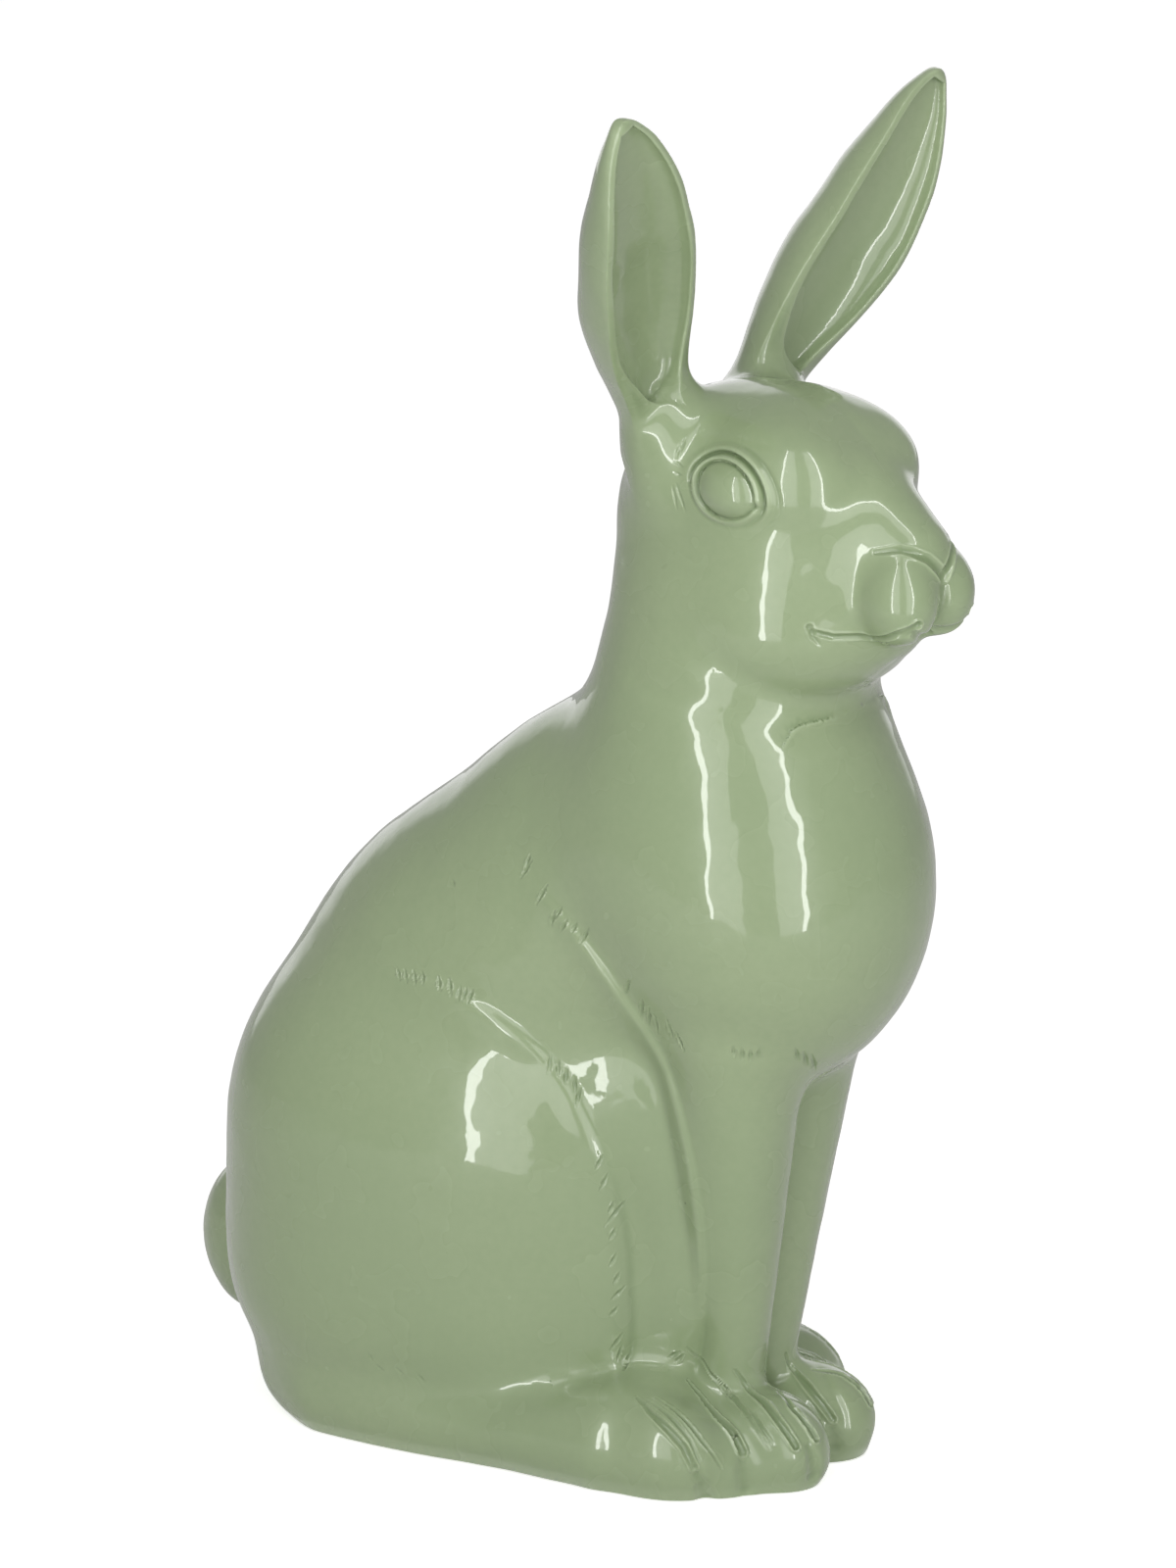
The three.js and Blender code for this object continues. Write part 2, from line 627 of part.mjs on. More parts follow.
function makePlate(pads) {
  let plate = seatPrism(RIM_WIDTH + GLUE_GAP, FLOOR_GAP, FLOOR_GAP + PLATE_THICKNESS);
  const middle = at(...SEAT.centre);
  plate = plate.subtract(disc(middle, VENT_RADIUS, 0, FLANGE_TOP));
  for (const pad of pads) plate = plate.subtract(padPocket(pad));
  return plate;
}

// The front pads are under the hind toes, the rear pads in the plate's rear corners
function padCentres(side) {
  const [, forward] = SEAT.centre;
  const [halfSide, halfForward] = SEAT.half;
  return {
    front: at(side * FRONT_PAD.side, FRONT_PAD.forward, 0),
    rear: at(side * (halfSide - RIM_WIDTH - REAR_PAD_INSET.side),
      forward - halfForward + RIM_WIDTH + REAR_PAD_INSET.rear, 0),
  };
}

const gloss = { roughness: 0.12, metalness: 0 };
const MATERIALS = {
  lacquer: new THREE.MeshStandardMaterial({ name: 'lacquer', color: '#9dac86', ...gloss }),
  resin: new THREE.MeshStandardMaterial({ name: 'resin', color: '#d8d3c4', roughness: 0.6, metalness: 0 }),
  steel: new THREE.MeshStandardMaterial({ name: 'steel', color: '#b9bcc0', roughness: 0.35, metalness: 1 }),
  felt: new THREE.MeshStandardMaterial({ name: 'felt', color: '#3d4036', roughness: 0.95, metalness: 0 }),
};

function toMesh(name, piece, material) {
  const { vertProperties, triVerts } = piece.getMesh();
  const geometry = new THREE.BufferGeometry();
  geometry.setAttribute('position', new THREE.BufferAttribute(new Float32Array(vertProperties), 3));
  geometry.setIndex([...triVerts]);
  geometry.computeVertexNormals();
  const mesh = new THREE.Mesh(geometry, MATERIALS[material]);
  mesh.name = name;
  return mesh;
}

const group = new THREE.Group();
const left = padCentres(1);
const right = padCentres(-1);
const torsoSkin = torsoNet(figureDistance, 0, TORSO_CELL);
group.add(toMesh('torso_shell', makeTorso(torsoSkin, [left.front, right.front]), 'lacquer'));
group.add(toMesh('head_shell', makeHead(), 'lacquer'));
group.add(toMesh('tail', makeTail(torsoSkin), 'lacquer'));
group.add(toMesh('base_plate', makePlate([left.rear, right.rear]), 'resin'));
for (const [name, side, pads] of [['left', 1, left], ['right', -1, right]]) {
  group.add(toMesh(`${name}_ear`, makeEar(side), 'lacquer'));
  group.add(toMesh(`${name}_ear_pin`, makeEarPin(side), 'steel'));
  for (const [end, centre] of Object.entries(pads)) {
    group.add(toMesh(`${end}_${name}_pad`, disc(centre, PAD.radius, 0, PAD.thickness), 'felt'));
  }
}

// The origin is on the floor in the middle of the figure's outline from above
const box = new THREE.Box3().setFromObject(group);
const middle = box.getCenter(new THREE.Vector3());
group.position.set(-middle.x, -middle.y, 0);

export default group;
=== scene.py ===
"""Sitting hare figurine in glossy sage green lacquer: fine moulded surface, finish, light and camera.

The form is written in millimetres in the form's own frame, whose origin is a little ahead of the part's.
Every mesh is moved into the part's frame, in metres, when it is finished.
"""
import math

import bmesh
import bpy
import numpy as np
from mathutils import Matrix, Vector


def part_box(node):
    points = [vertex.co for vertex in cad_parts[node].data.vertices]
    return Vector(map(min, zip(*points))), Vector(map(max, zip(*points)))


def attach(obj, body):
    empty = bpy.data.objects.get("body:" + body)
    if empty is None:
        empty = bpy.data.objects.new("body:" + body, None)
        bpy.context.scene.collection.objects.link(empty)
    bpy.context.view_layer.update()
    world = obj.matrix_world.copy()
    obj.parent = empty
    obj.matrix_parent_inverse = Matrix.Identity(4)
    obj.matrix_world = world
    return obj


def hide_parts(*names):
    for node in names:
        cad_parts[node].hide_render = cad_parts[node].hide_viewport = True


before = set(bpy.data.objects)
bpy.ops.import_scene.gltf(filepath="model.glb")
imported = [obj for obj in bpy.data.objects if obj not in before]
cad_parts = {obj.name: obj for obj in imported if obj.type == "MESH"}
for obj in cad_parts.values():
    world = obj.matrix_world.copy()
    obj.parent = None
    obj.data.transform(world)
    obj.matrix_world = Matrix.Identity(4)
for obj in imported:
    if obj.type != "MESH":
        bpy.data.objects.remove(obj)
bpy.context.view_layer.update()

MM = 0.001


def at(side, forward, up):
    """A point from its distance to the hare's left, its distance forward and its height."""
    return np.array([side, -forward, up], float)


# The form stands where the pad under the left hind toes is
FRONT_PAD = at(38, 66, 0)
pad_corners = [np.array(corner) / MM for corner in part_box("front_left_pad")]
SHIFT = (pad_corners[0] + pad_corners[1]) / 2 - FRONT_PAD
SHIFT[2] = 0

# The photograph's camera, from the form's origin
PHOTO_SIZE = (1200, 1600)
FOCAL_PIXELS = 4858
CAMERA_AZIMUTH = math.radians(-58)
CAMERA_DISTANCE = 1351
CAMERA_HEIGHT = 492
CAMERA_AIM = np.array([15, -22.5, 189])
CAMERA_PLACE = np.array([CAMERA_DISTANCE * math.sin(CAMERA_AZIMUTH),
                         -CAMERA_DISTANCE * math.cos(CAMERA_AZIMUTH), CAMERA_HEIGHT])


def to_part(point):
    """A point of the form in the part's frame, in metres."""
    return Vector((np.asarray(point) + SHIFT) * MM)


def make_camera():
    data = bpy.data.cameras.new("camera")
    data.sensor_width = 36
    data.lens = FOCAL_PIXELS / PHOTO_SIZE[1] * data.sensor_width
    data.clip_start = 0.1
    data.clip_end = 50
    camera = bpy.data.objects.new("camera", data)
    bpy.context.scene.collection.objects.link(camera)
    camera.location = to_part(CAMERA_PLACE)
    look = to_part(CAMERA_AIM) - camera.location
    camera.rotation_euler = look.to_track_quat("-Z", "Y").to_euler()
    bpy.context.scene.camera = camera


make_camera()


# Distances to solids: below zero inside, in millimetres

def blend(a, b, width):
    """Smooth union of two distances."""
    h = np.maximum(width - np.abs(a - b), 0) / width
    return np.minimum(a, b) - h * h * h * width / 6


def carve(a, b, width):
    """The smooth intersection with what is outside b, where b is a hollow."""
    return -blend(-a, b, width)


def mass(p, centre, half, power=2.0, toe_in=0.0):
    """Egg shaped mass: centre, half sizes, how square it is, and its turn inwards in degrees."""
    q = p - at(*centre)
    if toe_in:
        c, s = math.cos(math.radians(toe_in)), math.sin(math.radians(toe_in))
        q = np.stack([q[:, 0] * c - q[:, 1] * s, q[:, 0] * s + q[:, 1] * c, q[:, 2]], 1)
    u = np.maximum(np.abs(q) / np.array(half, float), 1e-6)
    k = (u ** power).sum(1) ** (1 / power)
    slope = u ** (power - 1) / np.array(half, float) * (k ** (1 - power))[:, None]
    return (k - 1) / np.linalg.norm(slope, axis=1)


def limb(p, start, end):
    """Round limb that tapers from one ball to another: side, forward, up and radius of each."""
    a, radius_a = at(*start[:3]), start[3]
    line, radius_b = at(*end[:3]) - a, end[3]
    length2 = line @ line
    taper = radius_a - radius_b
    q = p - a
    s = q @ line
    t = s - length2
    across = ((q * length2 - s[:, None] * line) ** 2).sum(1)
    slant2 = length2 - taper * taper
    k = np.sign(taper) * taper * taper * across
    d = (np.sqrt(across * slant2 / length2) + s * taper) / length2 - radius_a
    past = np.sign(t) * slant2 * t * t * length2 > k
    before = np.sign(s) * slant2 * s * s * length2 < k
    d = np.where(past, np.sqrt(across + t * t * length2) / length2 - radius_b, d)
    return np.where(before & ~past, np.sqrt(across + s * s * length2) / length2 - radius_a, d)


# In square millimetres
FOLD_ROUNDING = 0.3


def folded(p):
    """Both sides laid on the left one, with the fold a little rounded."""
    m = p.copy()
    m[:, 0] = np.sqrt(m[:, 0] ** 2 + FOLD_ROUNDING)
    return m


def turn(axis, degrees):
    return np.array(Matrix.Rotation(math.radians(degrees), 3, axis))


# The head is turned a little to the hare's right and tilted to that side
HEAD_PIVOT = at(0, 80, 270)
HEAD_HEIGHT = np.array([0, 0, HEAD_PIVOT[2]])
HEAD_TURN = turn("Z", -10) @ turn("Y", -2.5)


def into_head(p):
    return (p - HEAD_PIVOT) @ HEAD_TURN + HEAD_HEIGHT


def out_of_head(h):
    return (h - HEAD_HEIGHT) @ HEAD_TURN.T + HEAD_PIVOT


def between(value, low, high):
    """Goes smoothly from 0 at low to 1 at high."""
    t = np.clip((value - low) / (high - low), 0, 1)
    return t * t * (3 - 2 * t)


def bump(value, centre, width):
    """A smooth hump of height 1."""
    return np.exp(-((value - centre) / width) ** 2)


# Edges of the flank and the haunch: ovals seen from the side. Between the angles start and end each is
# a proud rounded lip, or below the angle crease a roll down into a crease
FLANK_EDGE = dict(forward=10, up=77, half_forward=75.5, half_up=105, power=2.0, start=-46, end=80,
                  crease=-70, height=0.4, inside=5, drop=1.3, roll=2.0, outside=12)
HAUNCH_EDGE = dict(forward=-8, up=56, half_forward=71.5, half_up=88, power=2.3, start=-58, end=96,
                   crease=38, height=0.3, inside=6, drop=1.0, roll=6.2, outside=13)
LIP_ROUNDING = 0.6
CREASE_ROUNDING = 0.5
CREASE_ROLL = 3.8
# An edge fades in and out over these angles, and between these distances from the middle of the figure
EDGE_FADE_IN = 22
EDGE_FADE_OUT = 30
EDGE_SIDES = (10, 20)


def ledge(m, edge):
    """How far the surface drops beyond an edge, and rises before it, on the folded figure."""
    forward = -m[:, 1] - edge["forward"]
    up = m[:, 2] - edge["up"]
    power = edge["power"]
    u = np.maximum(np.abs(forward) / edge["half_forward"], 1e-6)
    v = np.maximum(np.abs(up) / edge["half_up"], 1e-6)
    k = (u ** power + v ** power) ** (1 / power)
    slope = np.hypot(u ** (power - 1) / edge["half_forward"], v ** (power - 1) / edge["half_up"])
    slope = slope * k ** (1 - power)
    beyond = np.clip((k - 1) / slope, -60, 60)
    angle = np.degrees(np.arctan2(up, forward))
    strength = between(angle, edge["start"], edge["start"] + EDGE_FADE_IN)
    strength = strength * between(-angle, -edge["end"], EDGE_FADE_OUT - edge["end"])
    strength = strength * between(m[:, 0], *EDGE_SIDES)
    lip = 1 / (1 + np.exp(-np.clip(beyond / LIP_ROUNDING, -30, 30)))
    crease = np.exp((beyond - np.sqrt(beyond ** 2 + CREASE_ROUNDING ** 2)) / 2 / CREASE_ROLL)
    low = between(-angle, -edge["crease"], EDGE_FADE_OUT - edge["crease"])
    past = edge["drop"] * lip * (1 - low) + edge["roll"] * crease * low
    fall = past * np.exp(-(np.maximum(beyond, 0) / edge["outside"]) ** 2)
    rise = edge["height"] * (1 - low) * (1 - lip) * np.exp(-(beyond / edge["inside"]) ** 2)
    return strength * (fall - rise)


# The mass of the seat. The recess for the plate has its outline, less a margin
SEAT = dict(centre=(0, -12, 14), half=(54, 59, 25), power=2.5)


def trunk(p):
    rump = mass(p, (0, -13, 75), (56, 71, 76))
    back = mass(p, (0, 3, 123), (49, 62.5, 63))
    withers = mass(p, (0, 48, 172), (40, 50, 50))
    chest = mass(p, (0, 86.5, 171), (49, 51.5, 59))
    neck = limb(p, (0, 77, 190, 46), (0, 83, 252, 37))
    d = blend(blend(rump, back, 30), withers, 55)
    d = blend(d, mass(p, **SEAT), 14)
    return blend(blend(d, chest, 22), neck, 22)


def torso(p):
    m = folded(p)
    foreleg = limb(m, (17, 89, 128, 21), (9, 84, 28, 10.5))
    flank = mass(m, (11.5, 24, 86), (35, 66, 93), 2.5, 10)
    haunch = mass(m, (4, -2, 84), (57, 76, 68), 2.3, 12)
    hip = mass(m, (3, -4, 52), (57, 76, 56), 2.3, 12)
    paw = mass(m, (14, 98, 9), (16, 20.5, 16.5))
    paw_side = mass(m, (26, 86, 6), (14, 19, 15))
    paw_back = mass(m, (24, 66, 10), (19, 24, 21))
    foot = limb(m, (38, -29, 12, 15), (38, 60, 12, 16))
    toes = mass(m, (38, 75, 11), (13, 21, 16))
    # The flank and the haunch join the trunk more softly towards the back
    softness = 4 + 8 * between(p[:, 1], -30, 40)
    d = blend(blend(trunk(p), foreleg, 12), flank, softness)
    d = blend(d, blend(haunch, hip, 8), softness)
    d = d + ledge(m, FLANK_EDGE) + ledge(m, HAUNCH_EDGE)
    d = blend(d, blend(blend(paw, paw_side, 8), paw_back, 8), 10)
    return blend(d, blend(foot, toes, 8), 12)


def tail(p):
    return mass(p, (0, -84, 39), (16, 20, 25))


def plain_head(h):
    """The head without ears and eyes, in head space."""
    m = folded(h)
    skull = mass(h, (0, 7, 271), (33, 41, 43), 2.2)
    throat = mass(h, (0, 10, 252), (37, 42, 27), 2.3)
    muzzle = limb(h, (0, 24, 262, 29), (0, 54.5, 262, 15.5))
    nose_bridge = limb(h, (0, 24, 290, 22), (0, 59, 271.5, 11.5))
    brow = mass(m, (15.5, 28, 291.5), (14, 20, 14.5))
    jaw = limb(m, (6, 24, 250, 22), (2, 49.5, 250, 9))
    whisker_pad = mass(m, (8.3, 62.5, 260.2), (10, 11, 12.6))
    ear_root = mass(m, (22, -5, 298), (12, 11, 19))
    d = blend(blend(skull, throat, 10), muzzle, 14)
    d = blend(blend(d, nose_bridge, 12), brow, 16)
    d = blend(blend(d, jaw, 10), whisker_pad, 5)
    return blend(d, ear_root, 14)


# The ear: its axis from root to tip, and sizes against the fraction of its length
EAR_BASE = at(24, -14, 309)
EAR_TIP = at(69, 18, 394)
EAR_LENGTH = np.linalg.norm(EAR_TIP - EAR_BASE)
EAR_UP = (EAR_TIP - EAR_BASE) / EAR_LENGTH
EAR_FRONT = at(0.07, 1, 0) - EAR_UP * (at(0.07, 1, 0) @ EAR_UP)
EAR_FRONT = EAR_FRONT / np.linalg.norm(EAR_FRONT)
EAR_OUT = np.cross(EAR_UP, EAR_FRONT)
EAR_HALF_WIDTH = {0: 10.8, 0.13: 13.3, 0.28: 17.4, 0.43: 19.3, 0.58: 18.9, 0.73: 16.3,
                  0.86: 12, 0.95: 7.3, 1: 2.2, 1.05: -3}
EAR_DEPTH = {0: 10.5, 0.15: 15.8, 0.4: 21.3, 0.7: 17.6, 0.9: 8.5, 1: 2.4}
EAR_RIM_AHEAD = {0: 7, 0.2: 7.8, 0.5: 10.3, 0.75: 9, 1: 3}
EAR_FRONT_DEPTH = {0: 4, 0.12: 2.5, 0.3: 1.5, 0.9: 1.3, 1: 1}
EAR_HOLLOW_DEPTH = {0: 0.5, 0.1: 3.5, 0.25: 8, 0.45: 11, 0.75: 8, 1: 1.2}
EAR_RIM_THICKNESS = {0: 9.5, 0.12: 6.2, 0.28: 2.9, 0.5: 2.6, 1: 2.3}
EAR_HOLLOW_TOP = 0.97
# In millimetres: the hollow's least half width and its open side, rounded edges, the stretch below the root,
# how far the ear bows outwards and where it is cut off the head
EAR_SLIT = 0.4
EAR_MOUTH = 40
EAR_RIM_ROUNDING = 1.6
EAR_TIP_ROUNDING = 4
EAR_BELOW_ROOT = 10
EAR_BOW = 2.2
EAR_SEAM = 6
# How softly the ear joins the head and the head the neck, and the height that the head is reckoned from
EAR_BLEND = 8
HEAD_BLEND = 4
HEAD_FROM = 190
# Corners of the tables are rounded over this fraction of the length, both ways
TABLE_ROUNDING = 0.05


def read(table, t):
    """Smooth value at t of a table of values by fraction, with rounded corners."""
    spots, values = list(table), list(table.values())
    around = np.linspace(-TABLE_ROUNDING, TABLE_ROUNDING, 5)
    return sum(np.interp(t + shift, spots, values) for shift in around) / len(around)


def oval(out, ahead, half_out, half_ahead):
    """Distance to an oval section."""
    k = np.sqrt((out / half_out) ** 2 + (ahead / half_ahead) ** 2)
    slope = np.sqrt((out / half_out ** 2) ** 2 + (ahead / half_ahead ** 2) ** 2)
    return k * (k - 1) / np.maximum(slope, 1e-3)


def ear(m):
    q = m - EAR_BASE
    height = q @ EAR_UP
    t = np.clip(height / EAR_LENGTH, 0, 1)
    out = q @ EAR_OUT - EAR_BOW * np.sin(np.pi * t) ** 2
    ahead = q @ EAR_FRONT - read(EAR_RIM_AHEAD, t)
    half = read(EAR_HALF_WIDTH, t)
    depth = read(EAR_DEPTH, t)
    skin = oval(out, ahead, half, np.where(ahead < 0, depth, read(EAR_FRONT_DEPTH, t)))
    skin = np.maximum(-blend(-skin, EAR_LENGTH - height, EAR_TIP_ROUNDING), -EAR_BELOW_ROOT - height)
    inner_half = np.maximum(half - read(EAR_RIM_THICKNESS, t), EAR_SLIT)
    hollow = oval(out, ahead, inner_half, np.where(ahead < 0, read(EAR_HOLLOW_DEPTH, t), EAR_MOUTH))
    hollow = np.maximum(hollow, np.maximum(-height, height - EAR_HOLLOW_TOP * EAR_LENGTH))
    return carve(skin, hollow, EAR_RIM_ROUNDING)


def figure(p):
    """The whole figure but the tail, without the fine tooling."""
    d = torso(p)
    high = p[:, 2] > HEAD_FROM
    if high.any():
        h = into_head(p[high])
        d[high] = blend(d[high], blend(plain_head(h), ear(folded(h)), EAR_BLEND), HEAD_BLEND)
    return d


def slope_of(distance, p, step=0.04):
    """Gradient of a distance at points."""
    corners = np.array([[1, -1, -1], [-1, -1, 1], [-1, 1, -1], [1, 1, 1]], float)
    total = sum(corner * distance(p + step * corner)[:, None] for corner in corners)
    return total / (4 * step)


def settled(distance, p, most, rounds=2):
    """Points moved straight onto a surface, no further than most in a round."""
    for _ in range(rounds):
        slope = slope_of(distance, p)
        move = -(distance(p) / np.maximum((slope * slope).sum(1), 0.05))[:, None] * slope
        length = np.linalg.norm(move, axis=1)
        p = p + move * np.minimum(1, most / np.maximum(length, 1e-9))[:, None]
    return p


# Tool marks. Each is a line of pixels on the side that the photograph shows, repeated on the other side.
# A pixel's ray starts this far from the camera and takes this many steps, each a share of the distance left
RAY_START = 1150
RAY_STEPS = 120
RAY_CAUTION = 0.7


def on_figure(pixels):
    """Points of the figure that show at pixels of the photograph."""
    back = CAMERA_PLACE - CAMERA_AIM
    back = back / np.linalg.norm(back)
    right = np.cross((0, 0, 1), back)
    right = right / np.linalg.norm(right)
    up = np.cross(back, right)
    x, y = (np.array(pixels, float) - np.array(PHOTO_SIZE) / 2).T / FOCAL_PIXELS
    ray = right * x[:, None] - up * y[:, None] - back
    ray = ray / np.linalg.norm(ray, axis=1)[:, None]
    travel = np.full(len(ray), float(RAY_START))
    nearest = np.full(len(ray), 1e9)
    best = travel
    for _ in range(RAY_STEPS):
        gap = figure(CAMERA_PLACE + ray * travel[:, None])
        best = np.where(gap < nearest, travel, best)
        nearest = np.minimum(gap, nearest)
        travel = travel + RAY_CAUTION * gap
    return CAMERA_PLACE + ray * best[:, None]


def line_on(points, distance, spacing=1.2):
    """A line through points, with more points between them, all laid on a surface."""
    parts = []
    for a, b in zip(points[:-1], points[1:]):
        count = max(int(np.linalg.norm(b - a) / spacing), 1)
        parts.append(a + (b - a) * (np.arange(count) / count)[:, None])
    parts.append(points[-1:])
    return settled(distance, np.concatenate(parts), most=2)


# In widths of a mark: how far it acts, how far the fine mesh goes, and where its lip is and how wide
MARK_REACH = 3
MARK_SURROUND = 2
LIP_PLACE = 1.5
LIP_SPREAD = 0.5


def mark_depth(p, path, widths, depths, power, lip):
    """How deep a tool mark cuts at points near it, with a lip thrown up on both sides."""
    margin = MARK_REACH * max(widths)
    near = np.all((p > path.min(0) - margin) & (p < path.max(0) + margin), axis=1)
    result = np.zeros(len(p))
    if not near.any():
        return result
    q = p[near]
    best = np.full(len(q), 1e9)
    along = np.zeros(len(q))
    steps = len(path) - 1
    for i in range(steps):
        line = path[i + 1] - path[i]
        t = np.clip((q - path[i]) @ line / max(line @ line, 1e-9), 0, 1)
        distance = np.linalg.norm(q - path[i] - t[:, None] * line, axis=1)
        nearer = distance < best
        best = np.where(nearer, distance, best)
        along = np.where(nearer, (i + t) / steps, along)
    spots = np.linspace(0, 1, len(widths))
    reach = best / np.interp(along, spots, widths)
    depth = np.interp(along, np.linspace(0, 1, len(depths)), depths)
    result[near] = depth * (np.exp(-reach ** power) - lip * bump(reach, LIP_PLACE, LIP_SPREAD))
    return result


FUR = dict(widths=(0.3, 0.55, 0.3), depths=(0.1, 0.6, 0.1), power=2, lip=0.4)
SCRATCH = dict(widths=(0.35, 0.45, 0.3), depths=(0.05, 0.3, 0.05), power=2, lip=0.2)
TOE = dict(widths=(0.45, 0.95, 0.9), depths=(0.2, 0.9, 1.1), power=2.6, lip=0.5)
TOE_LINE = dict(widths=(0.4, 0.6, 0.45), depths=(0.1, 0.5, 0.1), power=2, lip=0.5)
TOE_SOFT = dict(widths=(1.5, 2.2, 1.8), depths=(0.1, 0.7, 0.5), power=2, lip=0)
TOE_END = dict(widths=(1.2, 1.9, 2.1), depths=(0.8, 2.0, 2.3), power=2, lip=0)
HIND_CREASE = dict(widths=(3, 5, 5, 3), depths=(0.1, 0.9, 1.1, 0.3), power=2, lip=0)
JAW_CREASE = dict(widths=(3, 5.5, 5.5, 4.5), depths=(0.1, 1.7, 2.0, 1.0), power=2, lip=0)

FLANK_FUR = [
    [(531, 896), (543, 877)], [(547, 923), (558, 903)], [(566, 937), (573, 926)], [(562, 945), (566, 930)],
    [(572, 950), (579, 938)], [(583, 952), (588, 942)], [(592, 962), (600, 948)], [(638, 1014), (642, 1000)],
    [(654, 1036), (655, 1020)], [(662, 1046), (662, 1028)], [(671, 1054), (668, 1036)],
    [(689, 1052), (698, 1073)], [(680, 1040), (686, 1058)], [(536, 886), (541, 872)],
]
HAUNCH_FUR = [
    [(405, 987), (408, 1000)], [(413, 989), (415, 1002)], [(422, 990), (424, 1004)],
    [(431, 992), (432, 1004)], [(447, 996), (449, 1012)], [(458, 998), (460, 1016)],
    [(470, 1006), (467, 1022)], [(482, 1010), (477, 1024)], [(476, 1008), (472, 1020)],
    [(562, 1077), (560, 1095)], [(570, 1082), (569, 1098)], [(578, 1090), (577, 1106)],
    [(586, 1098), (587, 1116)], [(592, 1110), (588, 1128)],
    [(608, 1193), (615, 1179)], [(612, 1215), (620, 1198)], [(617, 1251), (638, 1226)],
    [(622, 1265), (629, 1252)], [(622, 1292), (630, 1278)], [(624, 1326), (638, 1312)],
    [(622, 1343), (631, 1333)], [(623, 1377), (636, 1360)], [(630, 1388), (635, 1373)],
    [(636, 1398), (643, 1381)], [(626, 1310), (633, 1298)], [(621, 1238), (627, 1226)],
]
CHEST_FUR = [
    [(748, 1068), (750, 1078)], [(757, 1070), (758, 1081)], [(766, 1071), (766, 1082)],
    [(775, 1070), (774, 1080)], [(812, 1070), (815, 1082)], [(820, 1073), (824, 1088)],
    [(828, 1076), (832, 1093)],
]
RUMP_SCRATCHES = [
    [(375, 1380), (381, 1390)], [(383, 1392), (392, 1400)], [(404, 1396), (412, 1403)],
    [(426, 1402), (434, 1412)], [(461, 898), (464, 904)],
]
TOE_GROOVES = [
    [(650, 1426), (664, 1442), (682, 1459), (698, 1477), (708, 1498)],
    [(702, 1409), (716, 1426), (732, 1446), (748, 1463), (758, 1482)],
    [(750, 1398), (760, 1412), (776, 1428), (795, 1451), (812, 1476)],
    [(794, 1420), (808, 1436), (822, 1452), (832, 1468)],
    [(802, 1382), (811, 1399), (830, 1422), (850, 1448)],
]
TOE_LINES = [
    [(660, 1428), (686, 1448), (704, 1469), (713, 1490)],
    [(671, 1427), (698, 1448), (716, 1470), (736, 1498)],
    [(701, 1376), (725, 1402), (749, 1427), (768, 1451), (785, 1479)],
    [(763, 1436), (776, 1455), (789, 1474)],
    [(683, 1385), (693, 1380)], [(690, 1390), (697, 1383)],
]
TOE_VALLEYS = [[(833, 1392), (848, 1418), (860, 1444), (862, 1466)], [(697, 1478), (706, 1494), (711, 1506)]]
TOE_SPLITS = [
    [(709, 1502), (716, 1514), (720, 1529)],
    [(757, 1484), (759, 1502), (761, 1520)],
    [(825, 1476), (830, 1492), (831, 1507)],
    [(848, 1452), (852, 1466), (853, 1478)],
]
HIND_CREASES = [[(400, 1420), (483, 1437), (566, 1424), (612, 1398)]]
JAW_CREASES = [[(640, 688), (668, 706), (720, 722), (800, 734), (870, 731), (906, 719)]]
JAW_FUR = [
    [(632, 645), (640, 655)], [(634, 655), (641, 664)], [(633, 668), (640, 674)], [(636, 680), (642, 686)],
    [(657, 697), (659, 708), (655, 720)],
]
EYE_SCRATCHES = [
    [(694, 452), (690, 468)], [(699, 447), (694, 462)], [(689, 472), (697, 477)], [(688, 482), (696, 486)],
    [(686, 496), (691, 520)], [(690, 494), (697, 516)], [(694, 505), (699, 522)],
]
NOSE_ARM = dict(widths=(0.6, 1.0, 1.3), depths=(0.3, 1.0, 1.6), power=2, lip=0.25)
PHILTRUM = dict(widths=(1.4, 1.5, 1.2), depths=(1.8, 1.9, 1.0), power=2, lip=0)
LIP_LINE = dict(widths=(0.7, 0.8, 1.0), depths=(0.8, 1.0, 1.3), power=2, lip=0.25)
LIP_TICK = dict(widths=(0.7, 0.8, 0.5), depths=(0.8, 0.6, 0.1), power=2, lip=0.2)
LIP_NOTCH = dict(widths=(0.8, 1.3, 1.6), depths=(0.9, 1.8, 2.4), power=2, lip=0)
LIP_LINES = [
    ([(912, 649), (932, 646), (946, 647)], LIP_NOTCH),
    ([(829, 645), (850, 650), (889, 651), (916, 647), (937, 638)], LIP_LINE),
    ([(826, 640), (830, 650), (837, 658)], LIP_TICK),
]
# Lines of the nose on the middle and side of the head, in the head's own place
NOSE_LINES = [
    ([at(14.5, 59, 274), at(10, 65, 274.5), at(5, 69, 271.5), at(0, 71, 266)], NOSE_ARM),
    ([at(0, 71, 266), at(0, 72, 262), at(0, 71, 257), at(0, 68, 252)], PHILTRUM),
]


def laid(lines, style, place=np.copy):
    """Marks of one style, as lines on one half of the figure. place moves them with the part they are on."""
    points = on_figure([pixel for line in lines for pixel in line])
    marks = []
    for line in lines:
        own, points = points[:len(line)], points[len(line):]
        path = place(line_on(own, figure))
        path[:, 0] = np.abs(path[:, 0])
        marks.append((path, style))
    return marks


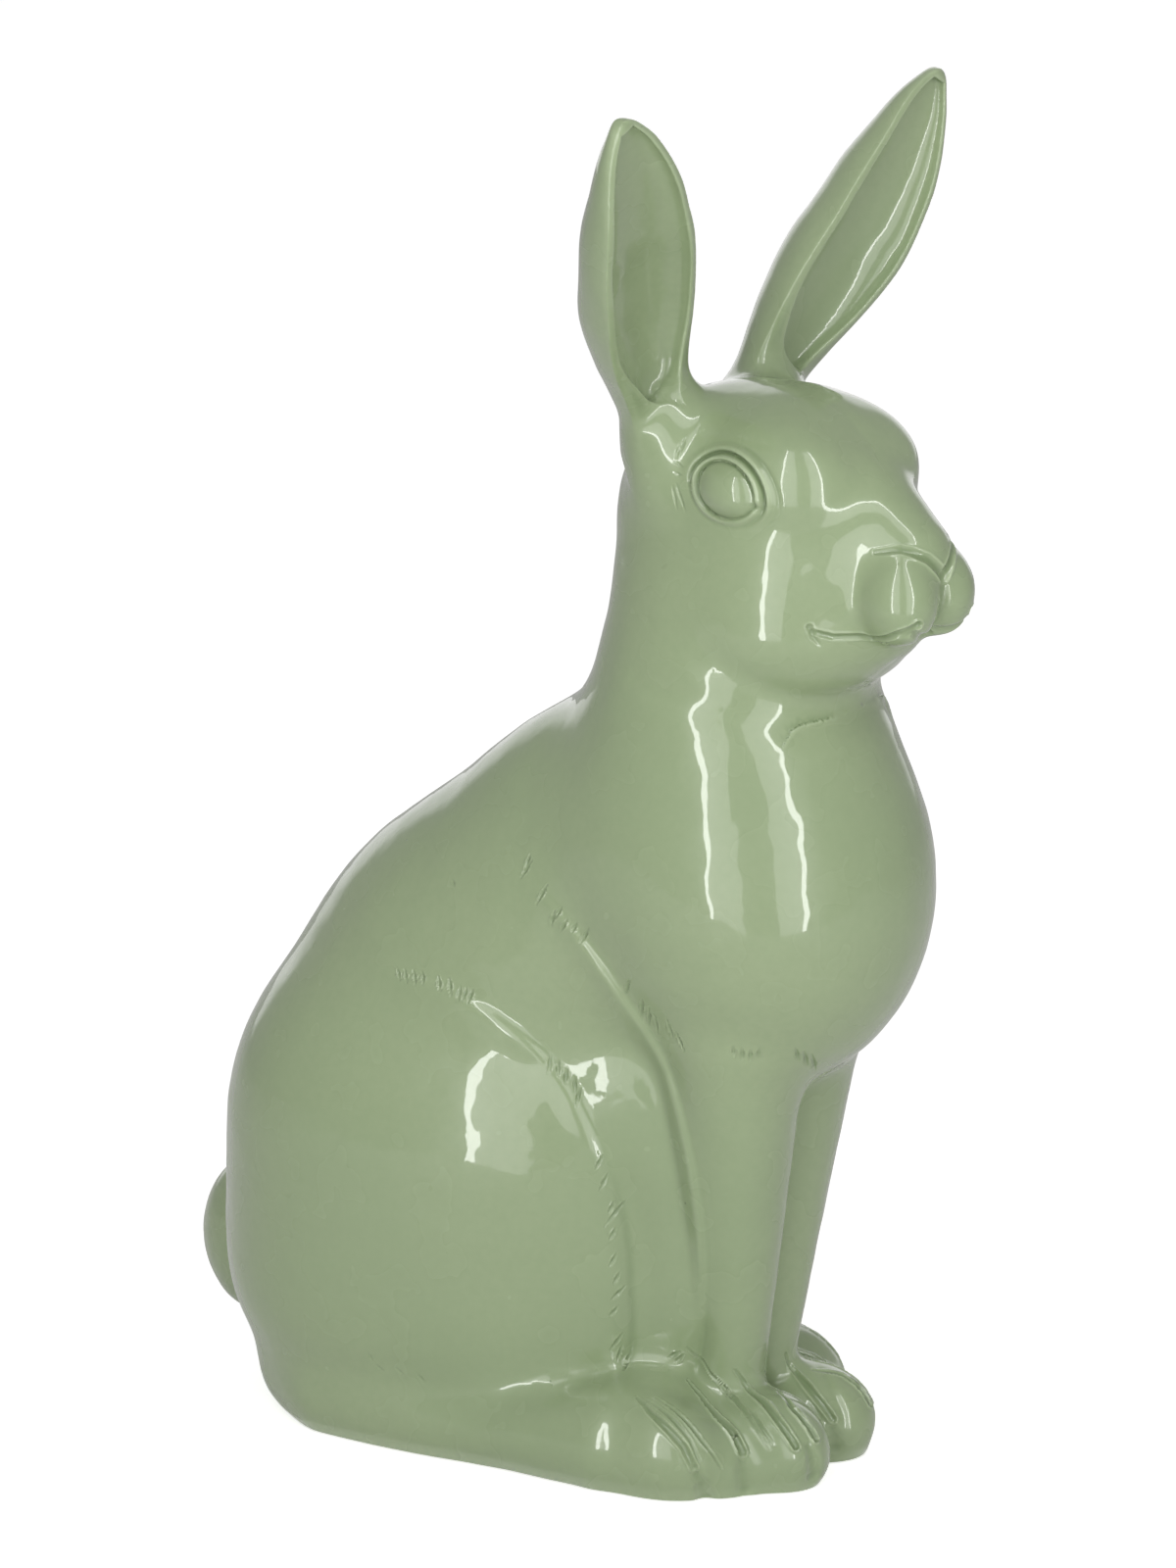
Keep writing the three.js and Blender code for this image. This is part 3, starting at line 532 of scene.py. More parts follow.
TORSO_MARKS = (
    laid(FLANK_FUR + HAUNCH_FUR + CHEST_FUR, FUR) + laid(RUMP_SCRATCHES, SCRATCH) + laid(TOE_GROOVES, TOE)
    + laid(TOE_LINES, TOE_LINE) + laid(TOE_VALLEYS, TOE_SOFT) + laid(TOE_SPLITS, TOE_END)
    + laid(HIND_CREASES, HIND_CREASE))
NECK_MARKS = laid(JAW_CREASES, JAW_CREASE, into_head)
HEAD_MARKS = laid(JAW_FUR, FUR, into_head) + laid(EYE_SCRATCHES, SCRATCH, into_head)
for line, style in LIP_LINES:
    HEAD_MARKS += laid([line], style, into_head)
for points, style in NOSE_LINES:
    HEAD_MARKS.append((line_on(np.array(points), plain_head), style))

# The eye: a ball in the side of the head, with folds of lid round it
EYE_PIXEL = (739, 500)
EYE_RADIUS = 6.9
EYE_LONG = 1.3
EYE_TILT = math.radians(-7)
EYE_PROUD = 3.8
EYE_REACH = 22
EYE_SURROUND = 5
EYE_BLEND = 0.35
# Each fold: how far outside the ball's edge, how wide, and how high all round, above and in front
EYE_LIDS = [
    (-0.2, 0.8, -0.9, 0, 0), (1.5, 0.85, 0.55, 0.7, 0), (2.8, 0.5, -0.15, -0.7, 0),
    (4.0, 0.9, 0, 0.25, 0.75), (5.6, 0.6, 0, 0, -0.3),
]
EYE_DUCT = dict(outside=1.2, below=1.2, depth=0.9, width=1.1)
# Above starts at this height and comes in over this distance. In front is round this angle, this wide
LID_START = -1
LID_SOFTNESS = 1.2
LID_FRONT = (45, 60)
EYE_AHEAD = np.array([0, -1, -0.12])
EYE_BALL = (EYE_RADIUS ** 2 + EYE_PROUD ** 2) / (2 * EYE_PROUD)
eye_spot = on_figure([EYE_PIXEL])
eye_normal = slope_of(figure, eye_spot, step=2.0)[0]
EYE_FACING = HEAD_TURN.T @ (eye_normal / np.linalg.norm(eye_normal))
EYE_FACING[0] = abs(EYE_FACING[0])
EYE_SPOT = into_head(eye_spot)[0]
EYE_SPOT[0] = abs(EYE_SPOT[0])
EYE_FORWARD = EYE_AHEAD - EYE_FACING * (EYE_FACING @ EYE_AHEAD)
EYE_FORWARD = EYE_FORWARD / np.linalg.norm(EYE_FORWARD)
EYE_UPWARD = np.cross(EYE_FACING, EYE_FORWARD)
EYE_UPWARD = EYE_UPWARD * np.sign(EYE_UPWARD[2])


def with_eye(d, m):
    """The eye worked into the side of the head."""
    near = np.linalg.norm(m - EYE_SPOT, axis=1) < EYE_REACH
    if not near.any():
        return d
    q = m[near] - EYE_SPOT
    forward = q @ (EYE_FORWARD * math.cos(EYE_TILT) + EYE_UPWARD * math.sin(EYE_TILT)) / EYE_LONG
    upward = q @ (EYE_UPWARD * math.cos(EYE_TILT) - EYE_FORWARD * math.sin(EYE_TILT))
    radius = np.hypot(forward, upward)
    around = np.degrees(np.arctan2(upward, forward))
    above = 1 / (1 + np.exp(-(upward - LID_START) / LID_SOFTNESS))
    front = bump(around, *LID_FRONT)
    base = d[near]
    for outside, width, all_round, at_top, at_front in EYE_LIDS:
        height = all_round + at_top * above + at_front * front
        base = base - height * bump(radius, EYE_RADIUS + outside, width)
    duct = np.hypot(forward - EYE_RADIUS - EYE_DUCT["outside"], upward + EYE_DUCT["below"])
    base = base + EYE_DUCT["depth"] * bump(duct, 0, EYE_DUCT["width"])
    outward = q @ EYE_FACING - (EYE_PROUD - EYE_BALL)
    ball = np.sqrt(forward ** 2 + upward ** 2 + outward ** 2) - EYE_BALL
    result = d.copy()
    result[near] = blend(base, ball, EYE_BLEND)
    return result


# The lacquer runs a little: slow waves of the surface, each with a wavelength, a height and a phase
WAVES = [(19, 0.03, 0.3), (12, 0.018, 1.9), (7, 0.007, 4.1)]


def ripple(p):
    """Height of the slow waves in the surface."""
    total = np.zeros(len(p))
    for length, height, phase in WAVES:
        k = 2 * np.pi / length
        x, y, z = p.T * k
        total += height * (np.sin(x + 1.3 * np.sin(0.7 * y + phase))
                           + np.sin(y + 1.1 * np.sin(0.8 * z + 2 * phase))
                           + np.sin(z + 1.2 * np.sin(0.6 * x - phase)))
    return total


def marks_in(p, marks):
    return sum(mark_depth(p, path, **style) for path, style in marks)


def body_surface(p):
    """The torso and neck with all the tooling."""
    neck = marks_in(folded(into_head(p)), NECK_MARKS)
    return figure(p) + marks_in(folded(p), TORSO_MARKS) + neck + ripple(p)


def head_surface(p):
    """The head and ears with all the tooling, down to below the neck joint."""
    h = into_head(p)
    m = folded(h)
    worked = with_eye(plain_head(h), m) + marks_in(m, HEAD_MARKS)
    whole = blend(torso(p), blend(worked, ear(m), EAR_BLEND), HEAD_BLEND)
    return whole + marks_in(m, NECK_MARKS) + ripple(p)


def tail_surface(p):
    return tail(p) + ripple(p)


# Surface nets over a lattice. Distances are exact within this many steps of the surface
BAND = 2.2
CORNERS = [(i, j, k) for i in (0, 1) for j in (0, 1) for k in (0, 1)]


def lattice_values(distance, low, high, step, coarse=2):
    """Distances at the nodes of a lattice. Nodes far from the surface take the value of a coarse lattice."""
    counts = np.ceil((np.array(high) - np.array(low)) / (step * coarse)).astype(int) * coarse + 1
    axes = [low[k] + step * np.arange(counts[k]) for k in range(3)]
    wide = [axis[::coarse] for axis in axes]
    nodes = np.stack(np.meshgrid(*wide, indexing="ij"), -1).reshape(-1, 3)
    rough = distance(nodes).reshape([len(axis) for axis in wide])

    def spread(array):
        for axis in range(3):
            array = np.repeat(array, coarse, axis)
        return array

    near = np.abs(rough) < BAND * step * coarse
    cells = np.zeros([n - 1 for n in near.shape], bool)
    for i, j, k in CORNERS:
        cells |= near[i:i + cells.shape[0], j:j + cells.shape[1], k:k + cells.shape[2]]
    fine = spread(cells)
    band = np.zeros(counts, bool)
    for i, j, k in CORNERS:
        band[i:i + fine.shape[0], j:j + fine.shape[1], k:k + fine.shape[2]] |= fine
    values = spread(rough)[:counts[0], :counts[1], :counts[2]].copy()
    spots = np.nonzero(band)
    values[spots] = distance(np.stack([axes[k][spots[k]] for k in range(3)], 1))
    return values, axes


def net(values, axes):
    """Surface net: a point in each cell that the surface crosses, a face for each crossed lattice edge."""
    inside = values < 0
    cells = tuple(n - 1 for n in inside.shape)
    at_corners = [inside[i:i + cells[0], j:j + cells[1], k:k + cells[2]] for i, j, k in CORNERS]
    count = sum(corner.astype(np.int8) for corner in at_corners)
    crossed = (count > 0) & (count < len(CORNERS))
    index = np.full(cells, -1, np.int64)
    place = np.argwhere(crossed)
    index[crossed] = np.arange(len(place))
    total = np.zeros((len(place), 3))
    hits = np.zeros(len(place))
    for axis in range(3):
        for corner in CORNERS:
            if corner[axis]:
                continue
            end = list(corner)
            end[axis] = 1
            a = values[tuple((place + corner).T)]
            b = values[tuple((place + end).T)]
            cut = (a < 0) != (b < 0)
            point = np.tile(np.array(corner, float), (len(place), 1))
            point[:, axis] = np.where(cut, a / np.where(cut, a - b, 1), 0)
            total[cut] += point[cut]
            hits[cut] += 1
    step = axes[0][1] - axes[0][0]
    points = np.array([axis[0] for axis in axes]) + (place + total / hits[:, None]) * step
    faces = []
    for axis in range(3):
        u, v = (axis + 1) % 3, (axis + 2) % 3
        here = np.take(inside, range(inside.shape[axis] - 1), axis)
        there = np.take(inside, range(1, inside.shape[axis]), axis)
        edge = np.argwhere(here != there)
        edge = edge[(edge[:, u] > 0) & (edge[:, v] > 0) & (edge[:, u] < cells[u]) & (edge[:, v] < cells[v])]
        ring = []
        for du, dv in ((0, 0), (1, 0), (1, 1), (0, 1)):
            cell = edge.copy()
            cell[:, u] -= 1 - du
            cell[:, v] -= 1 - dv
            ring.append(index[tuple(cell.T)])
        ring = np.stack(ring, 1)
        outward = ~inside[tuple(edge.T)]
        ring[outward] = ring[outward][:, ::-1]
        faces.append(ring)
    return points, np.concatenate(faces)


def places(bm):
    return np.array([vertex.co for vertex in bm.verts])


def put(bm, points):
    for vertex, point in zip(bm.verts, points):
        vertex.co = point


def near_marks(p, marks, reach):
    """True for points within reach of a mark."""
    found = np.zeros(len(p), bool)
    for path, style in marks:
        margin = reach + MARK_SURROUND * max(style["widths"])
        close = np.all((p > path.min(0) - margin) & (p < path.max(0) + margin), axis=1)
        spots = np.nonzero(close)[0]
        gap = np.linalg.norm(p[spots][:, None] - path[None], axis=2).min(1) if len(spots) else spots
        found[spots[gap < margin]] = True
    return found


# How much the normals at the two ends of an edge differ
SHARP_BEND = 0.16


def refined(bm, surface, sizes, marked):
    """Splits the faces where the surface bends sharply or is marked, down to each size in turn."""
    for size in sizes:
        bm.verts.ensure_lookup_table()
        p = places(bm)
        normal = slope_of(surface, p)
        normal = normal / np.linalg.norm(normal, axis=1)[:, None]
        close = marked(p, size)
        bm.verts.index_update()
        ends = np.array([[v.index for v in edge.verts] for edge in bm.edges])
        bend = np.linalg.norm(normal[ends[:, 0]] - normal[ends[:, 1]], axis=1)
        length = np.linalg.norm(p[ends[:, 0]] - p[ends[:, 1]], axis=1)
        wanted = ((bend > SHARP_BEND) | close[ends].all(1)) & (length > size)
        faces = {face for edge, yes in zip(bm.edges, wanted) if yes for face in edge.link_faces}
        edges = {edge for face in faces for edge in face.edges}
        bmesh.ops.subdivide_edges(bm, edges=list(edges), cuts=1, use_grid_fill=True)
        put(bm, settled(surface, places(bm), size))
    return bm


def moulded(surface, low, high, step, sizes, marked):
    """Fine skin of a surface as a bmesh."""
    points, faces = net(*lattice_values(surface, low, high, step))
    points = settled(surface, points, step / 2)
    mesh = bpy.data.meshes.new("net")
    mesh.from_pydata(points.tolist(), [], faces.tolist(), shade_flat=False)
    bm = bmesh.new()
    bm.from_mesh(mesh)
    bpy.data.meshes.remove(mesh)
    return refined(bm, surface, sizes, marked)


def sawn(bm, point, normal, faces=None, keep_front=True, keep_back=True):
    """Cuts faces along a plane, and drops what lies on a side that isn't kept."""
    faces = list(faces if faces is not None else bm.faces)
    parts = {item for face in faces for item in (*face.verts, *face.edges)}
    bmesh.ops.bisect_plane(bm, geom=list(parts) + faces, dist=1e-4, plane_co=point, plane_no=normal,
                           clear_outer=not keep_front, clear_inner=not keep_back)


def open_edges(bm):
    return [edge for edge in bm.edges if edge.is_boundary]


def closed(bm, edges):
    """Fills a flat opening."""
    made = bmesh.ops.triangle_fill(bm, edges=edges, use_beauty=True, use_dissolve=False)
    for item in made["geom"]:
        if isinstance(item, bmesh.types.BMFace):
            item.smooth = False


def recess(bm, outline, bottom, top):
    """A pocket with an upright wall and a flat roof. Its open edges are left for the floor round it."""
    low = [bm.verts.new((x, y, bottom)) for x, y in outline]
    high = [bm.verts.new((x, y, top)) for x, y in outline]
    for i in range(len(outline)):
        j = (i + 1) % len(outline)
        bm.faces.new((low[i], low[j], high[j], high[i])).smooth = False
    bm.faces.new(high[::-1]).smooth = False


def circle(centre, radius, sides=64):
    angles = 2 * np.pi * np.arange(sides) / sides
    return [(centre[0] + radius * math.cos(a), centre[1] + radius * math.sin(a)) for a in angles]


def as_object(name, bm, surface, material):
    """The finished mesh in the part's frame, with the surface's own normals and its relief stored."""
    bmesh.ops.recalc_face_normals(bm, faces=bm.faces)
    mesh = bpy.data.meshes.new(name)
    bm.to_mesh(mesh)
    bm.free()
    points = np.empty(len(mesh.vertices) * 3)
    mesh.vertices.foreach_get("co", points)
    points = points.reshape(-1, 3)
    mesh.transform(Matrix.Translation(SHIFT * MM) @ Matrix.Scale(MM, 4))
    if surface is not None:
        store_finish(mesh, points, surface)
    obj = bpy.data.objects.new(name, mesh)
    bpy.context.scene.collection.objects.link(obj)
    mesh.materials.append(material)
    return obj


# How far off the curvature is measured
RELIEF_REACH = 1.4


def store_finish(mesh, points, surface):
    """Stores the field's own normals, and how hollow or proud the surface is at each point, which the
    lacquer turns into painted shade and painted highlight.
    """
    normal = slope_of(surface, points)
    normal = normal / np.linalg.norm(normal, axis=1)[:, None]
    around = [RELIEF_REACH * np.eye(3)[axis] * sign for axis in range(3) for sign in (-1, 1)]
    mean = sum(surface(points + offset) for offset in around) / len(around) - surface(points)
    relief = np.clip(mean * len(around) / RELIEF_REACH ** 2 / 2, -1, 1)
    attribute = mesh.attributes.new("relief", "FLOAT", "POINT")
    attribute.data.foreach_set("value", relief.astype(np.float32))
    corner_vertex = np.empty(len(mesh.loops), np.int32)
    mesh.loops.foreach_get("vertex_index", corner_vertex)
    corner_normal = normal[corner_vertex]
    for polygon in mesh.polygons:
        if not polygon.use_smooth:
            corner_normal[polygon.loop_start:polygon.loop_start + polygon.loop_total] = polygon.normal
    mesh.normals_split_custom_set(corner_normal.tolist())


# Materials

class Nodes:
    """A material's node tree, with short calls to add to it."""

    def __init__(self, name):
        self.material = bpy.data.materials.new(name)
        self.material.use_nodes = True
        self.tree = self.material.node_tree
        self.shader = self.tree.nodes["Principled BSDF"]
        self.place = self.add("ShaderNodeTexCoord").outputs["Object"]

    def feed(self, socket, value):
        """Sets an input, or links it where the value is the output of a node."""
        if isinstance(value, bpy.types.NodeSocket):
            self.tree.links.new(value, socket)
        else:
            socket.default_value = value

    def add(self, kind, inputs=None, **settings):
        node = self.tree.nodes.new(kind)
        for key, value in settings.items():
            setattr(node, key, value)
        for key, value in (inputs or {}).items():
            self.feed(node.inputs[key], value)
        return node

    def set(self, **inputs):
        for key, value in inputs.items():
            self.feed(self.shader.inputs[key.replace("_", " ")], value)

    def noise(self, scale, detail=2.0, roughness=0.5):
        inputs = {"Vector": self.place, "Scale": scale, "Detail": detail, "Roughness": roughness}
        return self.add("ShaderNodeTexNoise", inputs).outputs["Fac"]

    def ramp(self, value, low, high, to_low=0.0, to_high=1.0):
        inputs = {"Value": value, "From Min": low, "From Max": high, "To Min": to_low, "To Max": to_high}
        return self.add("ShaderNodeMapRange", inputs).outputs["Result"]

    def mix(self, factor, first, second):
        inputs = {"Factor": factor, "A": first, "B": second}
        return self.add("ShaderNodeMix", inputs, data_type="RGBA").outputs[2]

    def bump(self, height, distance, normal=None):
        inputs = {"Height": height, "Distance": distance, "Strength": 1.0}
        if normal is not None:
            inputs["Normal"] = normal
        return self.add("ShaderNodeBump", inputs).outputs["Normal"]


def linear(red, green, blue):
    """A colour given in the usual 0 to 255 steps, as light."""
    steps = [value / 255 for value in (red, green, blue)]
    return (*[s / 12.92 if s <= 0.04045 else ((s + 0.055) / 1.055) ** 2.4 for s in steps], 1)


def lacquer():
    n = Nodes("sage_lacquer")
    drift = n.ramp(n.noise(14, 1), 0.35, 0.65)
    body = n.mix(drift, linear(142, 158, 122), linear(147, 162, 126))
    mottle = n.ramp(n.noise(420, 3), 0.3, 0.7, 0.0, 0.35)
    body = n.mix(mottle, body, linear(137, 154, 117))
    relief = n.add("ShaderNodeAttribute", attribute_name="relief").outputs["Fac"]
    # Painted shade: the colour darkens where the surface is hollow, in creases and grooves. Painted
    # highlight: it lightens where the surface is proud, on edges and lips
    body = n.mix(n.ramp(relief, -0.05, -0.6, 0.0, 0.75), body, linear(112, 131, 92))
    body = n.mix(n.ramp(relief, 0.12, 0.7, 0.0, 0.6), body, linear(178, 193, 158))
    cell = n.add("ShaderNodeTexVoronoi", {"Vector": n.place, "Scale": 95.0})
    speck = n.ramp(cell.outputs["Distance"], 0.035, 0.02)
    draw = n.add("ShaderNodeSeparateColor", {"Color": cell.outputs["Color"]}).outputs["Red"]
    chosen = n.ramp(draw, 0.08, 0.07)
    pinhole = n.add("ShaderNodeMath", {0: speck, 1: chosen}, operation="MULTIPLY").outputs[0]
    body = n.mix(n.ramp(pinhole, 0, 1, 0.0, 0.8), body, linear(82, 92, 66))
    peel = n.bump(n.noise(190, 1.0), 0.00003)
    grain = n.bump(n.noise(900, 2.0), 0.0000025, peel)
    pits = n.bump(n.ramp(pinhole, 0, 1, 1, 0), 0.00008, grain)
    n.set(Base_Color=body, Roughness=n.ramp(n.noise(60, 2), 0.3, 0.7, 0.22, 0.3), Normal=pits, IOR=1.5)
    n.set(Coat_Weight=1.0, Coat_Roughness=0.03, Coat_IOR=1.5, Coat_Normal=pits, Specular_IOR_Level=0.3)
    return n.material


def resin():
    n = Nodes("cast_resin")
    tone = n.mix(n.ramp(n.noise(35, 4), 0.3, 0.7), linear(205, 199, 180), linear(222, 217, 201))
    n.set(Base_Color=tone, Roughness=n.ramp(n.noise(80, 3), 0.3, 0.7, 0.5, 0.7))
    n.set(Normal=n.bump(n.noise(700, 3), 0.00004))
    return n.material


def steel():
    n = Nodes("drawn_steel")
    tone = n.mix(n.noise(800, 2), linear(170, 173, 177), linear(200, 202, 205))
    n.set(Base_Color=tone, Metallic=1.0, Roughness=n.ramp(n.noise(300, 2), 0.3, 0.7, 0.25, 0.4))
    return n.material


def felt():
    n = Nodes("pressed_felt")
    fibres = n.noise(1600, 4, 0.7)
    tone = n.mix(n.ramp(fibres, 0.3, 0.7), linear(48, 51, 43), linear(78, 82, 70))
    n.set(Base_Color=tone, Roughness=0.95, Sheen_Weight=0.4, Normal=n.bump(fibres, 0.0004))
    return n.material


LACQUER = lacquer()

# Fineness: the net's step, then the sizes that sharp places are split down to
BODY_STEP, BODY_SIZES = ((2.0, (1.1, 0.6)))
HEAD_STEP, HEAD_SIZES = ((1.2, (0.65, 0.36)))
TAIL_STEP = 1.3
NECK_SEAM = 229
SEAM_MARGIN = 1

# Corners of the lattices that the skins are taken from
BODY_BOX = ((-76, -146, -9), (76, 112, 243))
HEAD_BOX = ((-88, -166, 217), (88, 12, 412))
TAIL_BOX = ((-22, 55, 8), (22, 112, 68))


def marked_body(p, reach):
    return near_marks(folded(p), TORSO_MARKS, reach)


def marked_head(p, reach):
    m = folded(into_head(p))
    at_eye = np.linalg.norm(m - EYE_SPOT, axis=1) < EYE_RADIUS + EYE_SURROUND
    return near_marks(m, HEAD_MARKS, reach) | at_eye


# Underside: its height over the floor, the rim round the plate's recess, the plate and the pads
FLOOR_GAP = 0.5
RIM_WIDTH = 8
PLATE_GAP = 0.3
PLATE_THICKNESS = 4
PAD_RADIUS = 7
PAD_HEIGHT = 2


def seat_outline(margin, sides=128):
    """The outline of the seat at the floor, less a margin."""
    _, forward, up = SEAT["centre"]
    half_side, half_forward, half_up = SEAT["half"]
    power = SEAT["power"]
    narrowing = (1 - (up / half_up) ** power) ** (1 / power)
    half_x = half_side * narrowing - margin
    half_y = half_forward * narrowing - margin
    outline = []
    for i in range(sides):
        c, s = math.cos(2 * math.pi * i / sides), math.sin(2 * math.pi * i / sides)
        x = half_x * math.copysign(abs(c) ** (2 / power), c)
        y = half_y * math.copysign(abs(s) ** (2 / power), s)
        outline.append((x, y - forward))
    return outline


def make_torso():
    bm = moulded(body_surface, *BODY_BOX, BODY_STEP, BODY_SIZES, marked_body)
    sawn(bm, (0, 0, NECK_SEAM), (0, 0, 1), keep_front=False)
    sawn(bm, (0, 0, FLOOR_GAP), (0, 0, -1), keep_front=False)
    closed(bm, [edge for edge in open_edges(bm) if edge.verts[0].co.z > NECK_SEAM - SEAM_MARGIN])
    recess(bm, seat_outline(RIM_WIDTH), FLOOR_GAP, FLOOR_GAP + PLATE_THICKNESS + PLATE_GAP)
    for side in (-1, 1):
        pocket = circle((side * FRONT_PAD[0], FRONT_PAD[1]), PAD_RADIUS + PLATE_GAP)
        recess(bm, pocket, FLOOR_GAP, PAD_HEIGHT + PLATE_GAP)
    closed(bm, open_edges(bm))
    return as_object("torso_skin", bm, body_surface, LACQUER)


# The saw cut at an ear's root acts on faces this near to its height, and this near to the ear's axis. Above
# the clear height everything on the ear's side is ear
EAR_CUT_BAND = 5
EAR_ROOT_RADIUS = 24
EAR_CLEAR_HEIGHT = 20


def ear_place(points, side):
    """Height over an ear's root, distance from its axis, and whether a point is on that ear's side."""
    h = into_head(points)
    h[:, 0] *= side
    q = h - EAR_BASE
    height = q @ EAR_UP
    return height, np.linalg.norm(q - height[:, None] * EAR_UP, axis=1), h[:, 0] > 0


def make_head_and_ears():
    bm = moulded(head_surface, *HEAD_BOX, HEAD_STEP, HEAD_SIZES, marked_head)
    sawn(bm, (0, 0, NECK_SEAM), (0, 0, 1), keep_back=False)
    for side in (1, -1):
        faces = list(bm.faces)
        centres = np.array([face.calc_center_median() for face in faces])
        height, radial, own = ear_place(centres, side)
        chosen = own & (np.abs(height - EAR_SEAM) < EAR_CUT_BAND) & (radial < EAR_ROOT_RADIUS)
        mirror = np.array([side, 1, 1])
        foot = out_of_head((EAR_BASE + EAR_UP * EAR_SEAM)[None] * mirror)[0]
        sawn(bm, foot, HEAD_TURN @ (EAR_UP * mirror), [face for face, yes in zip(faces, chosen) if yes])
    ears = {}
    for name, side in (("left_ear_skin", 1), ("right_ear_skin", -1)):
        faces = list(bm.faces)
        centres = np.array([face.calc_center_median() for face in faces])
        height, radial, own = ear_place(centres, side)
        clear = (radial < EAR_ROOT_RADIUS) | (height > EAR_CLEAR_HEIGHT)
        chosen = own & (height > EAR_SEAM) & clear
        above = [face for face, yes in zip(faces, chosen) if yes]
        ear_mesh = bm.copy()
        ear_mesh.faces.ensure_lookup_table()
        rest = [ear_mesh.faces[i] for i, yes in enumerate(chosen) if not yes]
        bmesh.ops.delete(ear_mesh, geom=rest, context="FACES")
        closed(ear_mesh, open_edges(ear_mesh))
        ears[name] = as_object(name, ear_mesh, head_surface, LACQUER)
        bmesh.ops.delete(bm, geom=above, context="FACES")
        closed(bm, [edge for edge in open_edges(bm) if edge.verts[0].co.z > NECK_SEAM + SEAM_MARGIN])
    closed(bm, open_edges(bm))
    return as_object("head_skin", bm, head_surface, LACQUER), ears


# How deep the tail's skin goes into the rump
TAIL_SUNK = 1.5


def make_tail():
    def surface(p):
        return np.maximum(tail_surface(p), -(figure(p) + TAIL_SUNK))

    bm = moulded(surface, *TAIL_BOX, TAIL_STEP, (), None)
    return as_object("tail_skin", bm, tail_surface, LACQUER)


def ring_of(bm, outline, z):
    return [bm.verts.new((x, y, z)) for x, y in outline]


BEVEL_STEPS = 4
PAD_BEVEL = 0.5


def bevelled_plate(name, inset_outline, bottom, top, bevel, material):
    """A flat piece with rounded upper and lower edges. inset_outline gives its outline for an inset."""
    bm = bmesh.new()
    rings = []
    angles = [math.pi / 2 * i / BEVEL_STEPS for i in range(BEVEL_STEPS + 1)]
    for angle in angles:
        outline = inset_outline(bevel * (1 - math.sin(angle)))
        rings.append(ring_of(bm, outline, bottom + bevel * (1 - math.cos(angle))))
    for angle in angles:
        outline = inset_outline(bevel * (1 - math.cos(angle)))
        rings.append(ring_of(bm, outline, top - bevel * (1 - math.sin(angle))))
    count = len(rings[0])
    for low, high in zip(rings[:-1], rings[1:]):
        for i in range(count):
            j = (i + 1) % count
            bm.faces.new((low[i], low[j], high[j], high[i])).smooth = True
    bm.faces.new(rings[0][::-1])
    bm.faces.new(rings[-1])
    return as_object(name, bm, None, material)


def soft_pad(name, centre, material):
    def outline(inset):
        return circle(centre, PAD_RADIUS - inset)

    return bevelled_plate(name, outline, 0, PAD_HEIGHT, PAD_BEVEL, material)


def ride_and_replace(piece, node):
    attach(piece, "root")
    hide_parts(node)


torso_skin = make_torso()
head_skin, ear_skins = make_head_and_ears()
tail_skin = make_tail()
ride_and_replace(torso_skin, "torso_shell")
ride_and_replace(head_skin, "head_shell")
ride_and_replace(ear_skins["left_ear_skin"], "left_ear")
ride_and_replace(ear_skins["right_ear_skin"], "right_ear")
ride_and_replace(tail_skin, "tail")

FELT = felt()
RESIN = resin()
STEEL = steel()
for node, material in (("left_ear_pin", STEEL), ("right_ear_pin", STEEL), ("base_plate", RESIN)):
    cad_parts[node].data.materials.clear()
    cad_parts[node].data.materials.append(material)
for node in ("front_left_pad", "front_right_pad", "rear_left_pad", "rear_right_pad"):
    low, high = [np.array(corner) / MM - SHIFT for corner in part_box(node)]
    pad = soft_pad(node + "_felt", (low + high)[:2] / 2, FELT)
    ride_and_replace(pad, node)


# Studio

# The floor is a white sheet that ends a little ahead of the object, on the camera's side
FLOOR_AHEAD = 0.52
FLOOR_SIZE = 14


def make_floor():
    mesh = bpy.data.meshes.new("floor")
    half = FLOOR_SIZE / 2
    front = [(-half, -FLOOR_AHEAD, 0), (half, -FLOOR_AHEAD, 0)]
    back = [(half, FLOOR_SIZE, 0), (-half, FLOOR_SIZE, 0)]
    mesh.from_pydata(front + back, [], [(0, 1, 2, 3)])
    mesh.transform(Matrix.Rotation(CAMERA_AZIMUTH, 4, "Z"))
    obj = bpy.data.objects.new("floor", mesh)
    bpy.context.scene.collection.objects.link(obj)
    obj.data.materials.append(floor_material())


FLOOR_GLOW = 0.66
# The floor also lights what is within a few millimetres of it, so that the underside isn't black
UNDER_LIGHT = 0.18
UNDER_REACH = 0.006
UNDER_FADE = 0.001


def floor_material():
    """Pale matt sheet that glows a little. It lets the view through from below, to show the underside."""
    n = Nodes("pale_floor")
    tone = n.mix(n.noise(6, 2), linear(236, 236, 234), linear(242, 242, 240))
    n.set(Base_Color=tone, Roughness=0.8, Specular_IOR_Level=0.1)
    ray = n.add("ShaderNodeLightPath").outputs
    under = n.ramp(ray["Ray Length"], UNDER_REACH - UNDER_FADE, UNDER_REACH, UNDER_LIGHT, 0)
    seen = n.ramp(ray["Is Camera Ray"], 0, 1, under, FLOOR_GLOW)
    n.set(Emission_Color=(1, 1, 1, 1), Emission_Strength=seen)
    side = n.add("ShaderNodeNewGeometry").outputs["Backfacing"]
    clear = n.add("ShaderNodeBsdfTransparent").outputs[0]
    mixed = n.add("ShaderNodeMixShader", {0: side, 1: n.shader.outputs[0], 2: clear}).outputs[0]
    n.tree.links.new(mixed, n.tree.nodes["Material Output"].inputs["Surface"])
    return n.material


make_floor()

TOWARDS_CAMERA = Vector((math.sin(CAMERA_AZIMUTH), -math.cos(CAMERA_AZIMUTH), 0))
BACKDROP_LIGHT = 1.05
ROOM_LIGHT = 0.34
# The backdrop's soft edge, as the cosine of the angle to the camera
BACKDROP_EDGE = (-0.84, -0.74)


